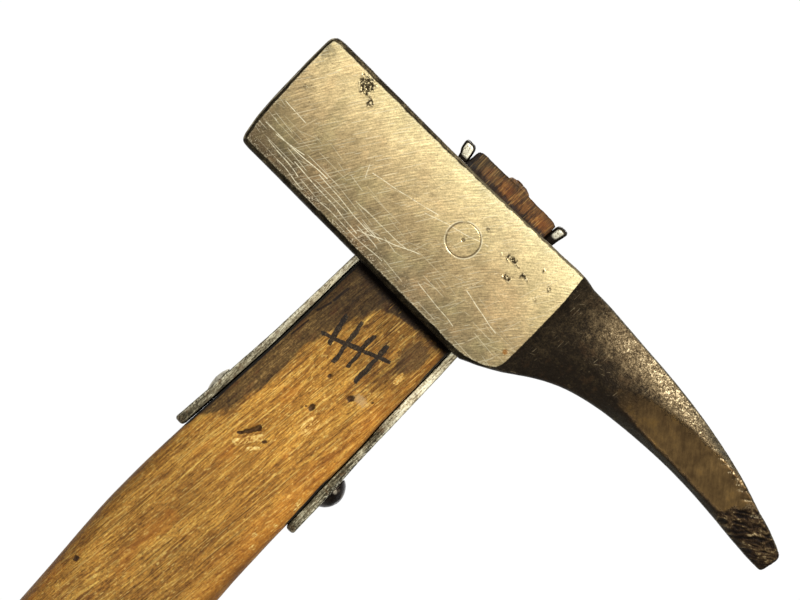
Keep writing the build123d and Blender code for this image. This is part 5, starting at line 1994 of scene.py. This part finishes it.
def floor_material():
    """White, fading out with distance from the origin."""
    mat = bpy.data.materials.new("floor")
    mat.use_nodes = True
    tree = mat.node_tree
    tree.nodes.clear()
    output = add_node(tree, "OutputMaterial")
    white = add_node(tree, "BsdfDiffuse", (0.86, 0.86, 0.85))
    clear = add_node(tree, "BsdfTransparent")
    place = add_node(tree, "TexCoord").outputs["Object"]
    level = add_node(tree, "VectorMath", place, (1, 1, 0), operation="MULTIPLY")
    radius = add_node(tree, "VectorMath", level.outputs[0], operation="LENGTH")
    fade = add_node(tree, "MapRange", radius.outputs["Value"], *FLOOR_FADE,
                    interpolation_type="SMOOTHSTEP")
    mixed = add_node(tree, "MixShader", fade.outputs[0], white.outputs[0], clear.outputs[0])
    tree.links.new(mixed.outputs[0], output.inputs[0])
    return mat


def build_floor():
    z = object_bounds()[0].z - FLOOR_DROP
    count = FLOOR_SEGMENTS
    verts = [(FLOOR_X, 0.0, z)]
    for radius in FLOOR_RINGS:
        for k in range(count):
            angle = 2 * math.pi * k / count
            verts.append((FLOOR_X + radius * math.cos(angle), radius * math.sin(angle), z))
    faces = [(0, 1 + k, 1 + (k + 1) % count) for k in range(count)]
    for ring in range(len(FLOOR_RINGS) - 1):
        near, far = 1 + ring * count, 1 + (ring + 1) * count
        for k in range(count):
            after = (k + 1) % count
            faces.append((near + k, far + k, far + after, near + after))
    mesh = bpy.data.meshes.new("floor")
    mesh.from_pydata(verts, [], faces)
    floor = bpy.data.objects.new("floor", mesh)
    bpy.context.scene.collection.objects.link(floor)
    mesh.materials.append(floor_material())


build_floor()


# ============================================================ world and lights
SKY = [(0.35, 0.24), (0.5, 0.50), (0.65, 0.72)]    # (height share, grey) between the ends
SKY_LOW, SKY_HIGH = 0.16, 0.85
CAMERA_WHITE = 1.02                                # strength of the background seen directly

scene = bpy.context.scene
head_z = HEAD_Z / 1000.0


def build_world():
    """White to the camera; to the object, a grey sky with two broad pale walls."""
    world = bpy.data.worlds.new("studio")
    scene.world = world
    world.use_nodes = True
    tree = world.node_tree
    tree.nodes.clear()
    output = add_node(tree, "OutputWorld")
    seen = add_node(tree, "Background", (1, 1, 1), CAMERA_WHITE)
    direction = add_node(tree, "TexCoord").outputs["Generated"]
    split = add_node(tree, "SeparateXYZ", direction)
    height = add_node(tree, "MapRange", split.outputs[2], -1, 1)
    sky = add_node(tree, "ValToRGB", height.outputs[0])
    elements = sky.color_ramp.elements
    for element, place, grey in ((elements[0], 0.0, SKY_LOW), (elements[1], 1.0, SKY_HIGH)):
        element.position = place
        element.color = (grey, grey, grey, 1)
    for place, grey in SKY:
        elements.new(place).color = (grey, grey, grey, 1)
    # the walls stand towards -Y and +Y
    sideways = add_node(tree, "Math", split.outputs[1], operation="ABSOLUTE")
    wall = add_node(tree, "MapRange", sideways.outputs[0], 0.50, 0.97, 0.0, 0.72,
                    interpolation_type="SMOOTHSTEP")
    total = add_node(tree, "VectorMath", sky.outputs[0], wall.outputs[0], operation="ADD")
    lit = add_node(tree, "Background", total.outputs[0], 1.0)
    camera_ray = add_node(tree, "LightPath").outputs["Is Camera Ray"]
    mixed = add_node(tree, "MixShader", camera_ray, lit.outputs[0], seen.outputs[0])
    tree.links.new(mixed.outputs[0], output.inputs[0])


def area_light(name, location, size, power, colour):
    """A rectangular light aimed at the head's underside."""
    light = bpy.data.lights.new(name, "AREA")
    light.shape = "RECTANGLE"
    light.size, light.size_y = size
    light.energy = power
    light.color = colour
    lamp = bpy.data.objects.new(name, light)
    scene.collection.objects.link(lamp)
    lamp.location = location
    lamp.rotation_mode = "QUATERNION"
    aim = Vector((0.0, 0.0, head_z)) - Vector(location)
    lamp.rotation_quaternion = aim.to_track_quat("-Z", "Y")


build_world()
area_light("key", location=(0.22, -0.78, head_z + 0.98), size=(0.36, 0.30), power=15.0,
           colour=(1.0, 0.97, 0.92))
area_light("fill_back", location=(-0.3, 0.9, head_z + 0.7), size=(0.7, 0.5), power=8.0,
           colour=(1.0, 0.98, 0.95))


# ============================================================ camera
SENSOR = 36.0                          # mm
DISTANCE = 2.2
VIEW_WIDTH = 0.196                     # width of the view at the cheek
ROLL = math.radians(45.15)             # brings the shaft out at the lower left


def build_camera():
    """Looks along +Y at the head, rolled about its own axis."""
    data = bpy.data.cameras.new("camera")
    camera = bpy.data.objects.new("camera", data)
    scene.collection.objects.link(camera)
    data.sensor_width = SENSOR
    data.lens = SENSOR * DISTANCE / VIEW_WIDTH
    data.clip_start, data.clip_end = 0.01, 50
    right = Vector((math.cos(ROLL), 0, math.sin(ROLL)))
    up = Vector((-math.sin(ROLL), 0, math.cos(ROLL)))
    back = Vector((0, -1, 0))
    eye = Vector((-0.0020, -0.013, head_z + 0.00005)) + back * DISTANCE
    camera.matrix_world = Matrix((*zip(right, up, back, eye), (0, 0, 0, 1)))
    scene.camera = camera


build_camera()
scene.view_settings.view_transform = "Standard"
scene.view_settings.look = "None"
scene.view_settings.exposure = 0.0
scene.view_settings.gamma = 1.0
